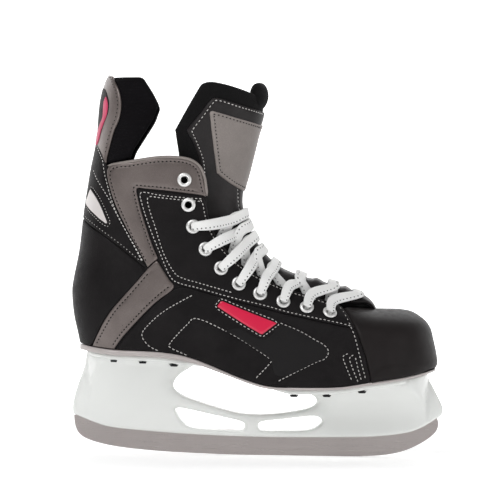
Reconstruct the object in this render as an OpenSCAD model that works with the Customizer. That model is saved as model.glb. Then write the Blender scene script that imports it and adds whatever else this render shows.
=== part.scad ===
// Ice hockey skate for the right foot, in millimetres.
// +X points to the toe, +Z up, and -Y is the outer side of the foot. Z = 0 is the flat of the runner.
// The boot is drawn on one curved side surface: a point of it is given by its distance round the
// boot from the middle of the heel and by its height, and each layer lies between two offsets from it.

/* [Runner] */
// Thickness of the steel runner
runner_t = 3.8; // [3.4:0.1:4.2]
// Height of the steel hidden in the holder's slot
runner_seat = 5; // [4:0.5:6]
// Width of the tab at each bolt
tab_w = 24; // [20:1:28]

/* [Holder] */
// Half width of the holder along the runner
rail_hw = 6.4; // [5.6:0.2:7]
// Half width of the holder's flange under the heel
heel_flange_hw = 27; // [25:1:28]
// Half width of the holder's flange under the ball of the foot
toe_flange_hw = 38; // [34:1:40]
// Radius of the shank of a runner bolt
bolt_r = 2.5; // [2:0.1:2.8]
// Radius of a rivet's shank
rivet_r = 2; // [1.6:0.1:2.4]

/* [Boot] */
// Radius of the back of the heel, seen from above
heel_r = 32; // [28:1:36]
// Distance that the toe leans to the big-toe side
toe_lean = 6; // [2:1:9]
// Thickness of the outsole under the heel
heel_sole_t = 4; // [3:0.5:4.5]
// Thickness of the outsole under the toe
toe_sole_t = 1.8; // [1.4:0.2:2.6]
// Thickness of the insole board
board_t = 2.4; // [2:0.2:3]
// Thickness of the footbed
footbed_t = 4.5; // [3:0.5:6]
// Thickness of a leather overlay
overlay_t = 1.2; // [0.8:0.1:1.3]

/* [Eyelets and lace] */
// Radius of an eyelet's hole
eyelet_hole_r = 2.8; // [2.6:0.1:3]
// Radius of an eyelet's rim
eyelet_rim_r = 5.7; // [5.2:0.1:6]
// Width of the flat lace
lace_w = 9; // [7:0.5:10]
// Thickness of the flat lace
lace_t = 1.4; // [1:0.1:1.5]

/* [Tongue and tendon guard] */
// Thickness of the tongue's felt
felt_t = 6; // [4:0.5:7]
// Thickness of the pad of the tendon guard
guard_pad_t = 7; // [5:0.5:8]

/* [Hidden] */
$fn = 48;

gap = 0.3;
outer = -1;
inner = 1;
quarter_arc = heel_r * PI / 2;
toe_x = 95;

// Layers of the boot wall, as offsets outward from the side surface
overlay_in = 0.25;
overlay_out = overlay_in + overlay_t;
quarter_in = -2.8;
quarter_out = -0.15;
facing_lining_in = -4;
facing_lining_out = -3.1;
lining_in = -6.2;
lining_out = -3.2;
badge_in = overlay_out + gap;
badge_out = badge_in + 0.8;

// A smooth curve through the points of an outline, with n steps from each point to the next
function blend(a, b, c, d, t) =
  0.5 * (2 * b + (c - a) * t + (2 * a - 5 * b + 4 * c - d) * t * t + (3 * b - a - 3 * c + d) * t * t * t);
function curve(p, n) = let(e = len(p) - 1) concat(
  [for (i = [0 : e - 1]) for (k = [0 : n - 1])
    blend(p[max(i - 1, 0)], p[i], p[i + 1], p[min(i + 2, e)], k / n)],
  [p[e]]
);
function lerp(a, b, t) = a + (b - a) * t;
function unit(v) = v / norm(v);
function reversed(p) = [for (i = [len(p) - 1 : -1 : 0]) p[i]];

// Side view of the boot: [x, z] along the sole, [z, x] up the back and up the front
sole_line = curve([[-141, 87], [-115, 83.5], [-76, 82], [-50, 77], [-14, 63], [9, 56.5], [32, 56],
  [65, 57], [90, 61], [121, 66], [146, 72]], 5);
back_line = curve([[80, -139], [96, -142.5], [111, -146], [129, -147.8], [141, -146.5], [163, -142.5],
  [193, -139.5], [211, -137], [228, -134.5], [250, -130.5], [279, -128.5], [296, -125], [304, -121]], 3);
front_line = curve([[60, 139], [71, 141.5], [77, 144.5], [97, 140.5], [105, 137.8], [111, 132.5],
  [116.6, 123], [118.2, 112]], 3);

// Half widths of the boot: at the sole, at the widest height, and at the upper edge, by x
sole_hw = curve([[-150, 29], [-110, 31], [-80, 31.5], [-40, 30], [0, 34], [40, 42], [70, 45.5],
  [95, 44.5]], 3);
wide_hw = curve([[-150, 35], [-115, 36], [-60, 38.5], [-30, 38.5], [0, 39.5], [40, 44], [70, 46.5],
  [95, 45.5]], 3);
edge_hw = [[-150, 36], [-115, 37], [-60, 36], [-36, 32], [-15, 29.5], [0, 27.5], [30, 24.5], [60, 21.5],
  [75, 17], [95, 10]];
wide_z = [[-150, 125], [-60, 122], [-36, 110], [0, 92], [40, 82], [70, 78], [95, 78]];
edge_z = curve([[-150, 240], [-70, 240], [-36, 190], [-15, 160], [0, 148], [15, 139], [32, 132], [54, 126],
  [66, 121.5], [95, 118.3]], 3);
crown = [[-150, 2], [0, 2], [40, 2.3], [75, 3.6], [95, 4]];

function sole_z(x) = lookup(x, sole_line);
function side_hw(x, z) = let(
  wide = lookup(x, wide_hw), low = lookup(x, wide_z),
  down = (low - z) / (low - sole_z(x)), up = (z - low) / (lookup(x, edge_z) - low)
) z < low ? wide - (wide - lookup(x, sole_hw)) * min(down, 1) * min(down, 1)
  : wide - (wide - lookup(x, edge_hw)) * pow(min(up, 1), lookup(x, crown));
function lean(x) = x < 0 ? 0 : toe_lean * pow(x / 140, 2);

// A point of the side surface. s is the distance round from the middle of the heel, negative on the outer
// side
function skin(s, z) = let(
  d = abs(s), a = min(90, 90 * d / quarter_arc),
  x = lookup(z, back_line) + (d < quarter_arc ? heel_r * (1 - cos(a)) : heel_r + d - quarter_arc)
) [x, sign(s) * side_hw(x, z) * sin(a) + lean(x), z];
function skin_normal(s, z) =
  unit(cross(skin(s, z + 0.6) - skin(s, z - 0.6), skin(s + 0.6, z) - skin(s - 0.6, z)));
function skin_out(s, z, d) = skin(s, z) + d * skin_normal(s, z);
// Distance round from the middle of the heel to a place seen from the side
function round_to(x, z) = let(r = max(0, x - lookup(z, back_line)))
  r < heel_r ? quarter_arc * acos(1 - r / heel_r) / 90 : quarter_arc + r - heel_r;

// Columns of [s, z] between two edges seen from the side, both listed from the heel to the toe
function laid_round(edge, fine) = curve([for (p = edge) [round_to(p.x, p.y), p.y]], fine);
function columns(low, high, fine, rows) = let(a = laid_round(low, fine), b = laid_round(high, fine))
  [for (i = [0 : len(a) - 1]) [for (k = [0 : rows]) lerp(a[i], b[i], k / rows)]];
function mirrored(cols) = [for (c = reversed(cols)) [for (p = c) [-p[0], p[1]]]];
function both_sides(cols) = concat([for (c = mirrored(cols)) c], [for (i = [1 : len(cols) - 1]) cols[i]]);
function offset_grid(cols, d) = [for (c = cols) [for (p = c) skin_out(p[0], p[1], d)]];

// A closed solid between two grids of points that match, the first outside the second
function quad(a, b, c, d) = [[a, b, c], [a, c, d]];
module slab(out, in) {
  n = len(out);
  m = len(out[0]);
  all = n * m;
  polyhedron(
    [for (g = [out, in]) for (c = g) for (p = c) p],
    [
      for (i = [0 : n - 2]) for (k = [0 : m - 2]) let(a = i * m + k) each concat(
        quad(a, a + 1, a + m + 1, a + m),
        quad(all + a, all + a + m, all + a + m + 1, all + a + 1)
      ),
      for (k = [0 : m - 2]) let(b = (n - 1) * m + k) each concat(
        quad(k, all + k, all + k + 1, k + 1),
        quad(b, b + 1, all + b + 1, all + b)
      ),
      for (i = [0 : n - 2]) let(a = i * m, b = i * m + m - 1) each concat(
        quad(a, a + m, all + a + m, all + a),
        quad(b, all + b, all + b + m, b + m)
      )
    ]
  );
}
module layer(cols, d_in, d_out) {
  slab(offset_grid(cols, d_out), offset_grid(cols, d_in));
}
module side_layer(side, low, high, fine, rows, d_in, d_out) {
  cols = columns(low, high, fine, rows);
  layer(side == outer ? mirrored(cols) : cols, d_in, d_out);
}

// Edges of the boot's layers, seen from the side and listed from the heel to the toe
wall_low = [[-141, 87.6], [-139, 87.1], [-131, 86], [-112, 83.9], [-92, 83], [-74, 82.3], [-60, 80],
  [-48, 76.8], [-36, 72.2],
  [-24, 67.4], [-12, 62.8], [0, 59], [13, 57], [28, 56.5], [44, 56.6], [63, 57.5], [85, 60.8]];
wall_high = [[-134, 236], [-131.5, 234.5], [-121, 230], [-103, 232.5], [-82, 236], [-60, 236],
  [-47.5, 229.5], [-43, 212],
  [-40.5, 194], [-36, 179.5], [-26.5, 166], [-15.5, 155], [-2.5, 146], [14, 138], [32, 131.5], [52, 125.6],
  [65.5, 120.6]];
lining_low = [[-141, 88], [-139, 87.5], [-131, 86.4], [-112, 84.4], [-92, 83.5], [-74, 82.8],
  [-60, 80.6], [-48, 77.4],
  [-36, 72.8], [-24, 68], [-12, 63.5], [0, 59.8], [13, 57.7], [28, 57.2], [44, 57.3], [63, 58.2], [82, 61]];
lining_high = [[-135, 232], [-131.5, 230.5], [-120, 226], [-103, 230], [-88, 233], [-74, 233.5],
  [-69.5, 217], [-67, 198],
  [-62.5, 178], [-52.5, 158], [-38.5, 141.5], [-23, 129], [-5, 121.5], [16, 115], [37, 110.5], [56, 107],
  [72, 103.5]];
eyestay_rear = [[-70, 234.5], [-67.5, 218], [-65.3, 198.8], [-60.8, 179], [-50.8, 159.6], [-37, 143.2],
  [-22, 130.5], [-4.5, 123], [16, 116.5], [37, 112], [56, 108.5], [70.5, 105.5]];
eyestay_front = [[-58, 235.3], [-47.5, 228], [-43.2, 211.5], [-40.8, 194], [-36.4, 179.5], [-27, 166],
  [-16, 155], [-3, 146], [14, 137.7], [32, 131.2], [52, 125.3], [65, 120.4]];
counter_low = [[-141, 88.2], [-139, 87.8], [-131.8, 86.7], [-124.8, 101], [-115.8, 116], [-101.8, 132],
  [-90.5, 145.5]];
counter_high = [[-141, 187.5], [-138.5, 185.5], [-130, 178.8], [-122, 173.5], [-113.5, 167],
  [-103.5, 159.3], [-92, 150]];
stay_low = [[-141, 188.4], [-138.5, 186.4], [-130, 179.7], [-115, 169], [-103, 159.8], [-91, 150.2]];
stay_high = [[-134, 236], [-131.5, 234.5], [-121.5, 229.5], [-120, 212], [-108.5, 184], [-89, 150]];
strap_rear = [[-130.6, 86.2], [-124, 101.4], [-115, 116.3], [-101, 132.6], [-88.6, 147.3], [-80.5, 155.3]];
strap_front = [[-113.5, 84.2], [-106.5, 94.4], [-96.5, 105.8], [-81.3, 121.5], [-67, 133], [-70.2, 139.5]];
collar_rear = [[-87.8, 149.8], [-97, 166.4], [-107, 184.4], [-118.5, 212], [-119.7, 229], [-102, 232.3],
  [-82, 235.8], [-60, 235.8], [-48, 229.2], [-43.8, 213], [-42.4, 206.4]];
collar_front = [[-79.7, 156.8], [-83.8, 166], [-88.6, 179], [-96, 203], [-97.2, 212], [-91, 211.9],
  [-79, 211],
  [-66, 209.8], [-57, 208.8], [-50, 208], [-44.2, 206.9]];
facing_rear = [[-96, 210.8], [-94.2, 202.5], [-87, 179], [-79, 157.4], [-69, 140], [-58, 135], [-46, 131.8],
  [-30, 127.2], [-12, 122.6], [6, 118.3], [24, 113.9], [42, 110.2], [58, 107], [71.5, 104.5]];
facing_front = [[-45, 206.2], [-42.9, 201], [-41.4, 194], [-38.6, 184], [-34.6, 175.5], [-27.6, 165.8],
  [-19.6, 157.5], [-10.4, 150.2], [0, 144], [12, 138.3], [26, 132.8], [40, 128.8], [53, 125],
  [64.6, 120.4]];
panel_low = [[-111.5, 84.2], [-102, 83.6], [-90, 82.9], [-76, 82.3], [-64, 80.8], [-50, 77.6], [-36, 72.4],
  [-22, 66.7], [-8, 61.6], [8, 57.5], [26, 56.5], [46, 56.7], [64, 57.6], [84, 60.6]];
panel_high = [[-105.2, 94], [-95.3, 105.2], [-80.4, 120.8], [-66, 132.3], [-57, 134], [-46, 131.2],
  [-30, 126.7], [-14, 122.5], [2, 118.7], [18, 114.7], [34, 111.3], [48, 108.4], [60, 106], [72.5, 103.8]];
label_low = [[-34.4, 117], [-21, 110.5], [-7, 103.5], [5, 97.5]];
label_high = [[-29, 124], [-14, 118.3], [1, 112.6], [16, 107]];
tear_low = [[-137.4, 200], [-131, 192], [-125, 186.5], [-120, 183]];
tear_high = [[-133.2, 212], [-128.5, 205], [-124, 196.5], [-119, 184.5]];
ankle_low = [[-110, 158], [-102, 142], [-88, 134], [-74, 138], [-66, 150]];
ankle_high = [[-111, 168], [-104, 190], [-90, 200], [-78, 195], [-70, 176]];

// Toe: a turns round it from -90 at the outer side to 90 at the inner, and goes straight back beyond that
seam_line = [[58, 86.6], [63, 86], [105, 74.6], [122, 67]];
function toe_back(a, z) = max(0, abs(a) - 90) / 30 * (toe_x - lookup(z, seam_line) - gap);
function toe_skin(a, z) = let(
  x = abs(a) > 90 ? toe_x - toe_back(a, z) : toe_x + (lookup(z, front_line) - toe_x) * cos(a)
) [x, sin(max(-90, min(90, a))) * side_hw(min(x, toe_x), z) + lean(x), z];
function toe_out(a, z, d) = let(
  round = toe_skin(a + 1, z) - toe_skin(a - 1, z), up = toe_skin(a, z + 0.4) - toe_skin(a, z - 0.4)
) toe_skin(a, z) + d * unit(cross(round, up));
toe_rows = [0, 0.2, 0.4, 0.55, 0.68, 0.78, 0.86, 0.92, 0.97, 1];
toe_angles = [for (a = [-120 : 10 : 120]) a];
// The last point of a column lies on the middle line, so that the shell closes over the toes
function toe_column(a, d) = let(
  x = toe_skin(a, 80).x, low = sole_z(x) + gap, top = abs(a) > 90 ? lookup(x, edge_z) - 0.2 : 118
) concat(
  [for (f = toe_rows) toe_out(a, lerp(low, top, f), d)],
  [let(p = toe_out(a, top, d)) [p.x, lean(p.x), top + d + 0.1]]
);

// Sole outline seen from above, grown by g; heel, side and toe follow the side surface
function rim(side, g) = concat(
  [for (a = [0 : 10 : 90]) let(x = -141 + (heel_r - 2) * (1 - cos(a)))
    [x - g * cos(a), side * (side_hw(x, 86) + g) * sin(a)]],
  [for (x = [-100 : 12 : 92]) [x, side * (lookup(x, sole_hw) + g) + lean(x)]],
  [for (a = [0 : 9 : 90]) let(x = toe_x + 48 * sin(a))
    [x + g * sin(a), side * (lookup(toe_x, sole_hw) + g) * cos(a) + lean(x)]]
);
module sole_plan(g) {
  polygon(concat(rim(inner, g), reversed(rim(outer, g))));
}
// Turns an [x, z] outline into a solid across the skate, from -hw to +hw
module across(hw) {
  rotate([90, 0, 0])
    linear_extrude(2 * hw, center = true)
      children();
}
sole_xs = [for (x = [-150 : 10 : 150]) x];
module sole_layer(g, base, thick_heel, thick_toe) {
  intersection() {
    linear_extrude(130)
      sole_plan(g);
    across(70)
      polygon(concat(
        [for (x = sole_xs) [x, sole_z(x) + base]],
        [for (x = reversed(sole_xs))
          [x, sole_z(x) + base + lookup(x, [[-60, thick_heel], [-20, thick_toe]])]]
      ));
  }
}

heel_bolt_x = -100;
toe_bolt_x = 90;
bolt_xs = [heel_bolt_x, toe_bolt_x];
rivet_head_r = 3.6;
rivet_head_t = 1.6;
heel_rivets = [for (x = [-114, -91, -66]) for (side = [outer, inner]) [x, side * 20.5]];
toe_rivets = [for (p = [[30, 26], [56, 31], [84, 31.5], [113, 26]]) for (side = [outer, inner])
  [p.x, side * p.y + lean(p.x)]];
under_line = [for (x = sole_xs) [x, sole_z(x) - lookup(x, [[-60, heel_sole_t], [-20, toe_sole_t]])]];
function sole_under(x) = lookup(x, under_line);

// Runner: the bottom from heel to toe, and the top edge of the steel that shows
runner_low = [[-146, 30], [-145, 22], [-141, 14.6], [-131, 9.5], [-110, 5], [-75, 1.9], [-40, 0.6],
  [-12, 0],
  [52, 0], [94, 0.7], [117, 4.4], [133.5, 11.8], [144, 20], [146.7, 27], [145.5, 32]];
runner_edge = [[-146, 31], [-131, 25], [-116, 20.8], [-85, 18], [-44, 15.7], [-3, 14.8], [32, 14.8],
  [75, 15.6],
  [100, 16.8], [122, 20], [134, 24.6], [145, 31.6]];
tab_h = 15;
bolt_head_h = 3.6;
bolt_head_w = 8.6;
nut_z = [62, 48];
nut_h = 4;

module runner() {
  seat = [for (p = curve(runner_edge, 3)) if (abs(p.x) < 136) [p.x, p.y + runner_seat]];
  color([0.72, 0.7, 0.69])
    across(runner_t / 2)
      difference() {
        union() {
          polygon(concat([for (p = curve(runner_low, 4)) [p.x, max(p.y, 0)]], reversed(seat)));
          for (x = bolt_xs)
            translate([x - tab_w / 2, lookup(x, runner_edge)])
              square([tab_w, tab_h]);
        }
        for (x = bolt_xs)
          translate([x, lookup(x, runner_edge)]) {
            translate([-bolt_head_w / 2 - gap, tab_h - 2 * bolt_head_h])
              square([bolt_head_w + 2 * gap, bolt_head_h + gap]);
            translate([-bolt_r - gap, tab_h - 2 * bolt_head_h])
              square([2 * bolt_r + 2 * gap, 3 * bolt_head_h]);
          }
      }
}

// Holder outline from the side, its windows, and the half widths of its two posts by height
holder_heel = [[-136, 82], [-138.6, 68], [-143, 55], [-146, 44], [-147, 36], [-146.4, 31]];
holder_toe = [[145, 31.6], [149, 35], [149.6, 41], [144.5, 52], [139, 62], [137.4, 67.6]];
main_window = [[-44, 78], [-52, 70.5], [-61, 64.5], [-65.6, 59], [-66.6, 54.5], [-64, 50.5], [-55, 45.6],
  [-34, 38.8], [-14, 33.8], [3, 32.7], [21, 34.2], [39, 37.4], [47, 41], [48.6, 45], [45, 49], [36, 52.6],
  [16, 53.6], [14, 60]];
rear_window = [[-65, 35.6], [-60, 37.2], [-36, 32.4], [-12, 27.2], [-8.8, 23.4], [-12, 20], [-30, 20.2],
  [-49, 21.4], [-58, 25.4]];
front_window = [[2, 22.6], [4, 27], [24, 29.8], [43, 32.2], [50.5, 31.6], [53, 27.8], [48, 23], [40, 20.6],
  [20, 20], [5, 20]];
heel_post = [[13, rail_hw], [34, rail_hw + 0.8], [48, 10], [60, 14], [70, 19], [78, 24.5], [90, 25]];
toe_post = [[13, rail_hw], [28, rail_hw + 0.8], [38, 11], [46, 17], [52, 24], [58, 30], [72, 32]];
flange_t = 3.6;
module post_shape(steps, x0, x1) {
  outline = curve(steps, 4);
  translate([x0, 0, 0])
    rotate([90, 0, 90])
      linear_extrude(x1 - x0)
        polygon(concat([for (p = outline) [p.y, p.x]], [for (p = reversed(outline)) [-p.y, p.x]]));
}
module holder_side() {
  top = [for (x = [-130 : 10 : 130]) [x, sole_under(x) - gap / 3]];
  base = curve(runner_edge, 3);
  difference() {
    polygon(concat(base, curve(holder_toe, 4), reversed(top), curve(holder_heel, 4)));
    polygon(curve(main_window, 3));
    polygon(curve(concat(rear_window, [rear_window[0]]), 3));
    polygon(curve(concat(front_window, [front_window[0]]), 3));
  }
}
// Thin plate that follows the underside of the sole from x0 to x1
module flange(x0, x1, hw) {
  xs = concat([x0], [for (x = sole_xs) if (x > x0 && x < x1) x], [x1]);
  intersection() {
    linear_extrude(100)
      sole_plan(-3);
    across(hw)
      polygon(concat(
        [for (x = xs) [x, sole_under(x) - gap / 3]],
        [for (x = reversed(xs)) [x, sole_under(x) - flange_t]]
      ));
  }
}
module holder() {
  color([0.92, 0.93, 0.91])
    difference() {
      union() {
        flange(-134, -44, heel_flange_hw);
        flange(14, 135, toe_flange_hw);
        intersection() {
          across(50)
            holder_side();
          union() {
            post_shape(heel_post, -150, -20);
            post_shape(toe_post, 6, 152);
            translate([-30, -rail_hw, 10])
              cube([50, 2 * rail_hw, 40]);
          }
          linear_extrude(100)
            union() {
              sole_plan(-5);
              translate([-148, -rail_hw])
                square([299, 2 * rail_hw]);
            }
        }
      }
      across(runner_t / 2 + 0.06)
        polygon(concat(
          [[-160, 0], [-147.5, 31.6]],
          [for (p = curve(runner_edge, 3)) if (abs(p.x) < 137) [p.x, p.y + runner_seat + 0.1]],
          [[147, 33.4], [160, 0]]
        ));
      for (i = [0, 1])
        translate([bolt_xs[i], 0, 0]) {
          translate([-tab_w / 2 - 0.1, -runner_t / 2 - 0.06, 10])
            cube([tab_w + 0.2, runner_t + 0.12, lookup(bolt_xs[i], runner_edge) - 10 + tab_h + 0.1]);
          cylinder(h = 90, r = bolt_r + 0.08);
          translate([0, 0, nut_z[i] - 1.2])
            cylinder(h = 40, r = 6.5);
        }
      for (p = concat(heel_rivets, toe_rivets))
        translate([p.x, p.y, 30]) {
          cylinder(h = 70, r = rivet_r + 0.05);
          cylinder(h = sole_under(p.x) - 30 - flange_t, r = rivet_head_r + gap);
        }
    }
}
module runner_bolt(i) {
  foot = lookup(bolt_xs[i], runner_edge) + tab_h - 2 * bolt_head_h;
  color([0.6, 0.6, 0.62])
    translate([bolt_xs[i], 0, foot + 0.15]) {
      translate([-bolt_head_w / 2, -runner_t / 2, 0])
        cube([bolt_head_w, runner_t, bolt_head_h]);
      cylinder(h = nut_z[i] + nut_h + 2 - foot, r = bolt_r);
    }
}
module runner_nut(i) {
  color([0.55, 0.55, 0.57])
    translate([bolt_xs[i], 0, nut_z[i] - 1.1])
      difference() {
        union() {
          cylinder(h = 1.1, r = 6);
          cylinder(h = nut_h + 1.1, r = 4.6, $fn = 6);
        }
        translate([0, 0, -1])
          cylinder(h = 10, r = bolt_r + 0.04);
      }
}
module rivets(places) {
  color([0.2, 0.2, 0.21])
    for (p = places)
      let(seat = sole_under(p.x) - flange_t - 0.8, top = sole_z(p.x) + board_t + 1.2)
        translate([p.x, p.y, seat]) {
          translate([0, 0, -rivet_head_t])
            cylinder(h = rivet_head_t, r1 = rivet_head_r - 0.9, r2 = rivet_head_r);
          cylinder(h = top - seat, r = rivet_r);
          translate([0, 0, top - seat - 0.1])
            cylinder(h = 0.8, r = rivet_head_r - 0.6);
        }
}
module rivet_holes(extra) {
  for (p = concat(heel_rivets, toe_rivets))
    translate([p.x, p.y, 30])
      cylinder(h = 80, r = rivet_r + extra);
}
module outsole() {
  color([0.74, 0.7, 0.69])
    difference() {
      sole_layer(1.2, -heel_sole_t, heel_sole_t, heel_sole_t);
      across(70)
        polygon(concat([[-160, 40]], under_line, [[160, 40]]));
      rivet_holes(0.05);
    }
}
module insole_board() {
  color([0.62, 0.5, 0.36])
    difference() {
      sole_layer(-7, 0.4, board_t, board_t);
      rivet_holes(0.05);
    }
}
module footbed() {
  color([0.3, 0.31, 0.33])
    difference() {
      sole_layer(-7.5, board_t + 1, footbed_t, footbed_t);
      rivet_holes(rivet_head_r - rivet_r);
    }
}
module toe_cap() {
  color([0.11, 0.1, 0.11])
    slab([for (a = reversed(toe_angles)) toe_column(a, 1.6)],
  [for (a = reversed(toe_angles)) toe_column(a, -1)]);
}
module toe_cap_liner() {
  angles = [for (a = [110 : -10 : -110]) a];
  color([0.3, 0.3, 0.32])
    slab([for (a = angles) toe_column(a, -1.4)], [for (a = angles) toe_column(a, -3.6)]);
}

// Eyelets: [x, z] seen from the side, from the collar down to the toe
eyelets = [[-59.8, 219.3], [-56.3, 199.5], [-52.3, 182.4], [-42.4, 164.7], [-29.8, 149.7], [-15.6, 137.5],
  [1.4, 129.8], [19.9, 123.6], [38.8, 119], [57, 115]];
module at_eyelet(p, side) {
  s = side * round_to(p.x, p.y);
  n = skin_normal(s, p.y);
  translate(skin(s, p.y))
    rotate([0, acos(n.z), atan2(n.y, n.x)])
      children();
}
module eyelet_holes(side, r) {
  for (p = eyelets)
    at_eyelet(p, side)
      translate([0, 0, -12])
        cylinder(h = 24, r = r);
}
barrel_r = eyelet_hole_r + 0.5;
barrel_low = facing_lining_in - 1.3;
rim_base = overlay_out + 0.35;
rim_t = 1.2;
module eyelet_rings(side) {
  color([0.86, 0.86, 0.85])
    for (p = eyelets)
      at_eyelet(p, side)
        difference() {
          union() {
            translate([0, 0, barrel_low])
              cylinder(h = rim_base + rim_t - barrel_low, r = barrel_r);
            translate([0, 0, rim_base])
              cylinder(h = 0.5, r = eyelet_rim_r);
            translate([0, 0, rim_base + 0.5])
              cylinder(h = rim_t - 0.5, r1 = eyelet_rim_r, r2 = eyelet_rim_r - 1.6);
          }
          translate([0, 0, -12])
            cylinder(h = 24, r = eyelet_hole_r);
        }
}
module eyelet_washers(side) {
  color([0.8, 0.8, 0.79])
    for (p = eyelets)
      at_eyelet(p, side)
        translate([0, 0, barrel_low + 0.2])
          difference() {
            cylinder(h = 0.5, r = eyelet_rim_r - 0.4);
            translate([0, 0, -1])
              cylinder(h = 3, r = barrel_r + 0.03);
          }
}

module quarter(side) {
  color([0.13, 0.12, 0.12])
    difference() {
      side_layer(side, wall_low, wall_high, 2, 8, quarter_in, quarter_out);
      eyelet_holes(side, barrel_r + 0.04);
      back_seam();
    }
}
// Thin slot at the middle of the heel, where the two halves of the wall meet
module back_seam() {
  translate([-170, -0.25, 70])
    cube([60, 0.5, 190]);
}
module lining(side) {
  color([0.22, 0.22, 0.24])
    difference() {
      side_layer(side, lining_low, lining_high, 2, 7, lining_in, lining_out);
      back_seam();
    }
}
module facing_lining(side) {
  color([0.2, 0.2, 0.21])
    difference() {
      side_layer(side, eyestay_rear, eyestay_front, 2, 2, facing_lining_in, facing_lining_out);
      eyelet_holes(side, barrel_r + 0.04);
    }
}
module ankle_pad(side) {
  color([0.25, 0.25, 0.27])
    side_layer(side, ankle_low, ankle_high, 2, 5, lining_in - 3.5, lining_in - gap);
}
module heel_counter() {
  color([0.13, 0.12, 0.13])
    layer(both_sides(columns(counter_low, counter_high, 2, 7)), overlay_in, overlay_out);
}
module back_stay() {
  color([0.12, 0.11, 0.12])
    layer(both_sides(columns(stay_low, stay_high, 2, 5)), overlay_in, overlay_out);
}
module ankle_strap(side) {
  color([0.52, 0.5, 0.48])
    side_layer(side, strap_rear, strap_front, 2, 3, overlay_in, overlay_out);
}
module collar_overlay(side) {
  color([0.5, 0.48, 0.46])
    difference() {
      side_layer(side, collar_rear, collar_front, 2, 5, overlay_in, overlay_out);
      eyelet_holes(side, barrel_r + 0.04);
    }
}
module facing(side) {
  color([0.13, 0.12, 0.13])
    difference() {
      side_layer(side, facing_rear, facing_front, 2, 4, overlay_in, overlay_out);
      eyelet_holes(side, barrel_r + 0.04);
    }
}
module side_panel(side) {
  color([0.12, 0.11, 0.12])
    side_layer(side, panel_low, panel_high, 2, 5, overlay_in, overlay_out);
}
module label(side) {
  color([0.8, 0.06, 0.26])
    side_layer(side, label_low, label_high, 2, 2, badge_in, badge_out);
}
module teardrop(side) {
  color([0.82, 0.8, 0.79])
    side_layer(side, tear_low, tear_high, 2, 2, badge_in, badge_out);
}

// Tongue: [x, z, half width, depth of the bend] up its middle line, from the toe cap to the shin
tongue_line = [[91, 128.8, 12.5, 1], [86, 130.2, 14, 1.6], [77, 131.8, 15, 2.6], [66, 133.8, 15.5, 10.5],
  [55, 137.3, 16, 15], [33, 144, 17, 18],
  [15, 153.5, 18.5, 22], [1, 168, 20, 27], [-8, 184, 21.5, 34], [-12.5, 197, 23, 41], [-13, 210, 24, 48]];
tongue_top_line = [[-12.4, 213, 24.5, 48], [-9, 226, 26, 54], [-5, 243, 29, 61], [-1.5, 258, 33, 65],
  [3, 273, 35, 66], [5, 300, 36, 66]];
// A row of points round the tongue at one station, with normal n, turned by each angle in turn
function tongue_point(st, n, a, d) =
  let(back = d - st[3] * (1 - cos(a))) [st[0] + n.x * back, (st[2] + d) * sin(a), st[1] + n.y * back];
tongue_path = curve(tongue_line, 2);
tongue_angles = [for (a = [-90 : 10 : 90]) a];
function tongue_at(z) = [for (k = [0 : 3]) k == 1 ? z : lookup(z, [for (p = tongue_path) [p[1], p[k]]])];
function tongue_normal(z) = let(t = unit([tongue_at(z + 1.5)[0] - tongue_at(z - 1.5)[0],
  min(z + 1.5, 210) - max(z - 1.5, 128.8)])) [t.y, -t.x];
function on_tongue(z, a, d) = let(st = tongue_at(z))
  tongue_point(st, tongue_normal(z), a, d) + [0, lean(st[0]), 0];
function tongue_grid(d) = [for (a = tongue_angles) [for (p = tongue_path) on_tongue(p[1], a, d)]];
module tongue_felt() {
  color([0.07, 0.07, 0.08])
    slab(tongue_grid(-1.5), tongue_grid(-1.5 - felt_t));
}
module tongue_facing() {
  color([0.16, 0.15, 0.16])
    slab(tongue_grid(0), tongue_grid(-1.2));
}
// Above the laces the tongue stands upright: f runs from -1 to 1 across it
function upright(z) = [
  lookup(z, [for (p = tongue_top_line) [p[1], p[0]]]), z,
  lookup(z, [for (p = tongue_top_line) [p[1], p[2]]]), lookup(z, [for (p = tongue_top_line) [p[1], p[3]]])
];
function upright_grid(fs, low, high, reach, rows, d) = [for (f = fs)
  [for (k = [0 : rows]) let(
    z = lerp(lookup(abs(f), low), lookup(abs(f), high), k / rows), r = lerp(reach[0], reach[1], k / rows)
  ) tongue_point(upright(z), [1, 0], f * r, d)]];
across_f = [for (f = [-1 : 0.125 : 1]) f];
felt_top = [[0, 283], [0.33, 284.5], [0.5, 290], [0.66, 295.5], [0.78, 297.5], [0.89, 295], [1, 283]];
module tongue_top_felt() {
  color([0.07, 0.07, 0.08])
    slab(
      upright_grid(across_f, [[0, 213], [1, 213]], felt_top, [88, 90], 8, -1.5),
      upright_grid(across_f, [[0, 213], [1, 213]], felt_top, [88, 90], 8, -1.5 - felt_t)
    );
}
module tongue_top_facing() {
  top = [[0, 273], [1, 283]];
  color([0.16, 0.15, 0.16])
    slab(
      upright_grid(across_f, [[0, 213], [1, 213]], top, [64, 70], 6, 0),
      upright_grid(across_f, [[0, 213], [1, 213]], top, [64, 70], 6, -1.2)
    );
}
module tongue_top_patch() {
  low = [[0, 214], [1, 227]];
  high = [[0, 264.5], [1, 274.5]];
  color([0.58, 0.55, 0.53])
    slab(
      upright_grid(across_f, low, high, [54, 66], 5, 1.3),
      upright_grid(across_f, low, high, [54, 66], 5, 0.3)
    );
}
module tongue_lip() {
  color([0.06, 0.06, 0.07])
    translate([-14, 0, 291.4])
      rotate([0, 0, -58])
        rotate_extrude(angle = 116)
          translate([13.2, 0])
            circle(r = 7.2);
}

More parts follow.
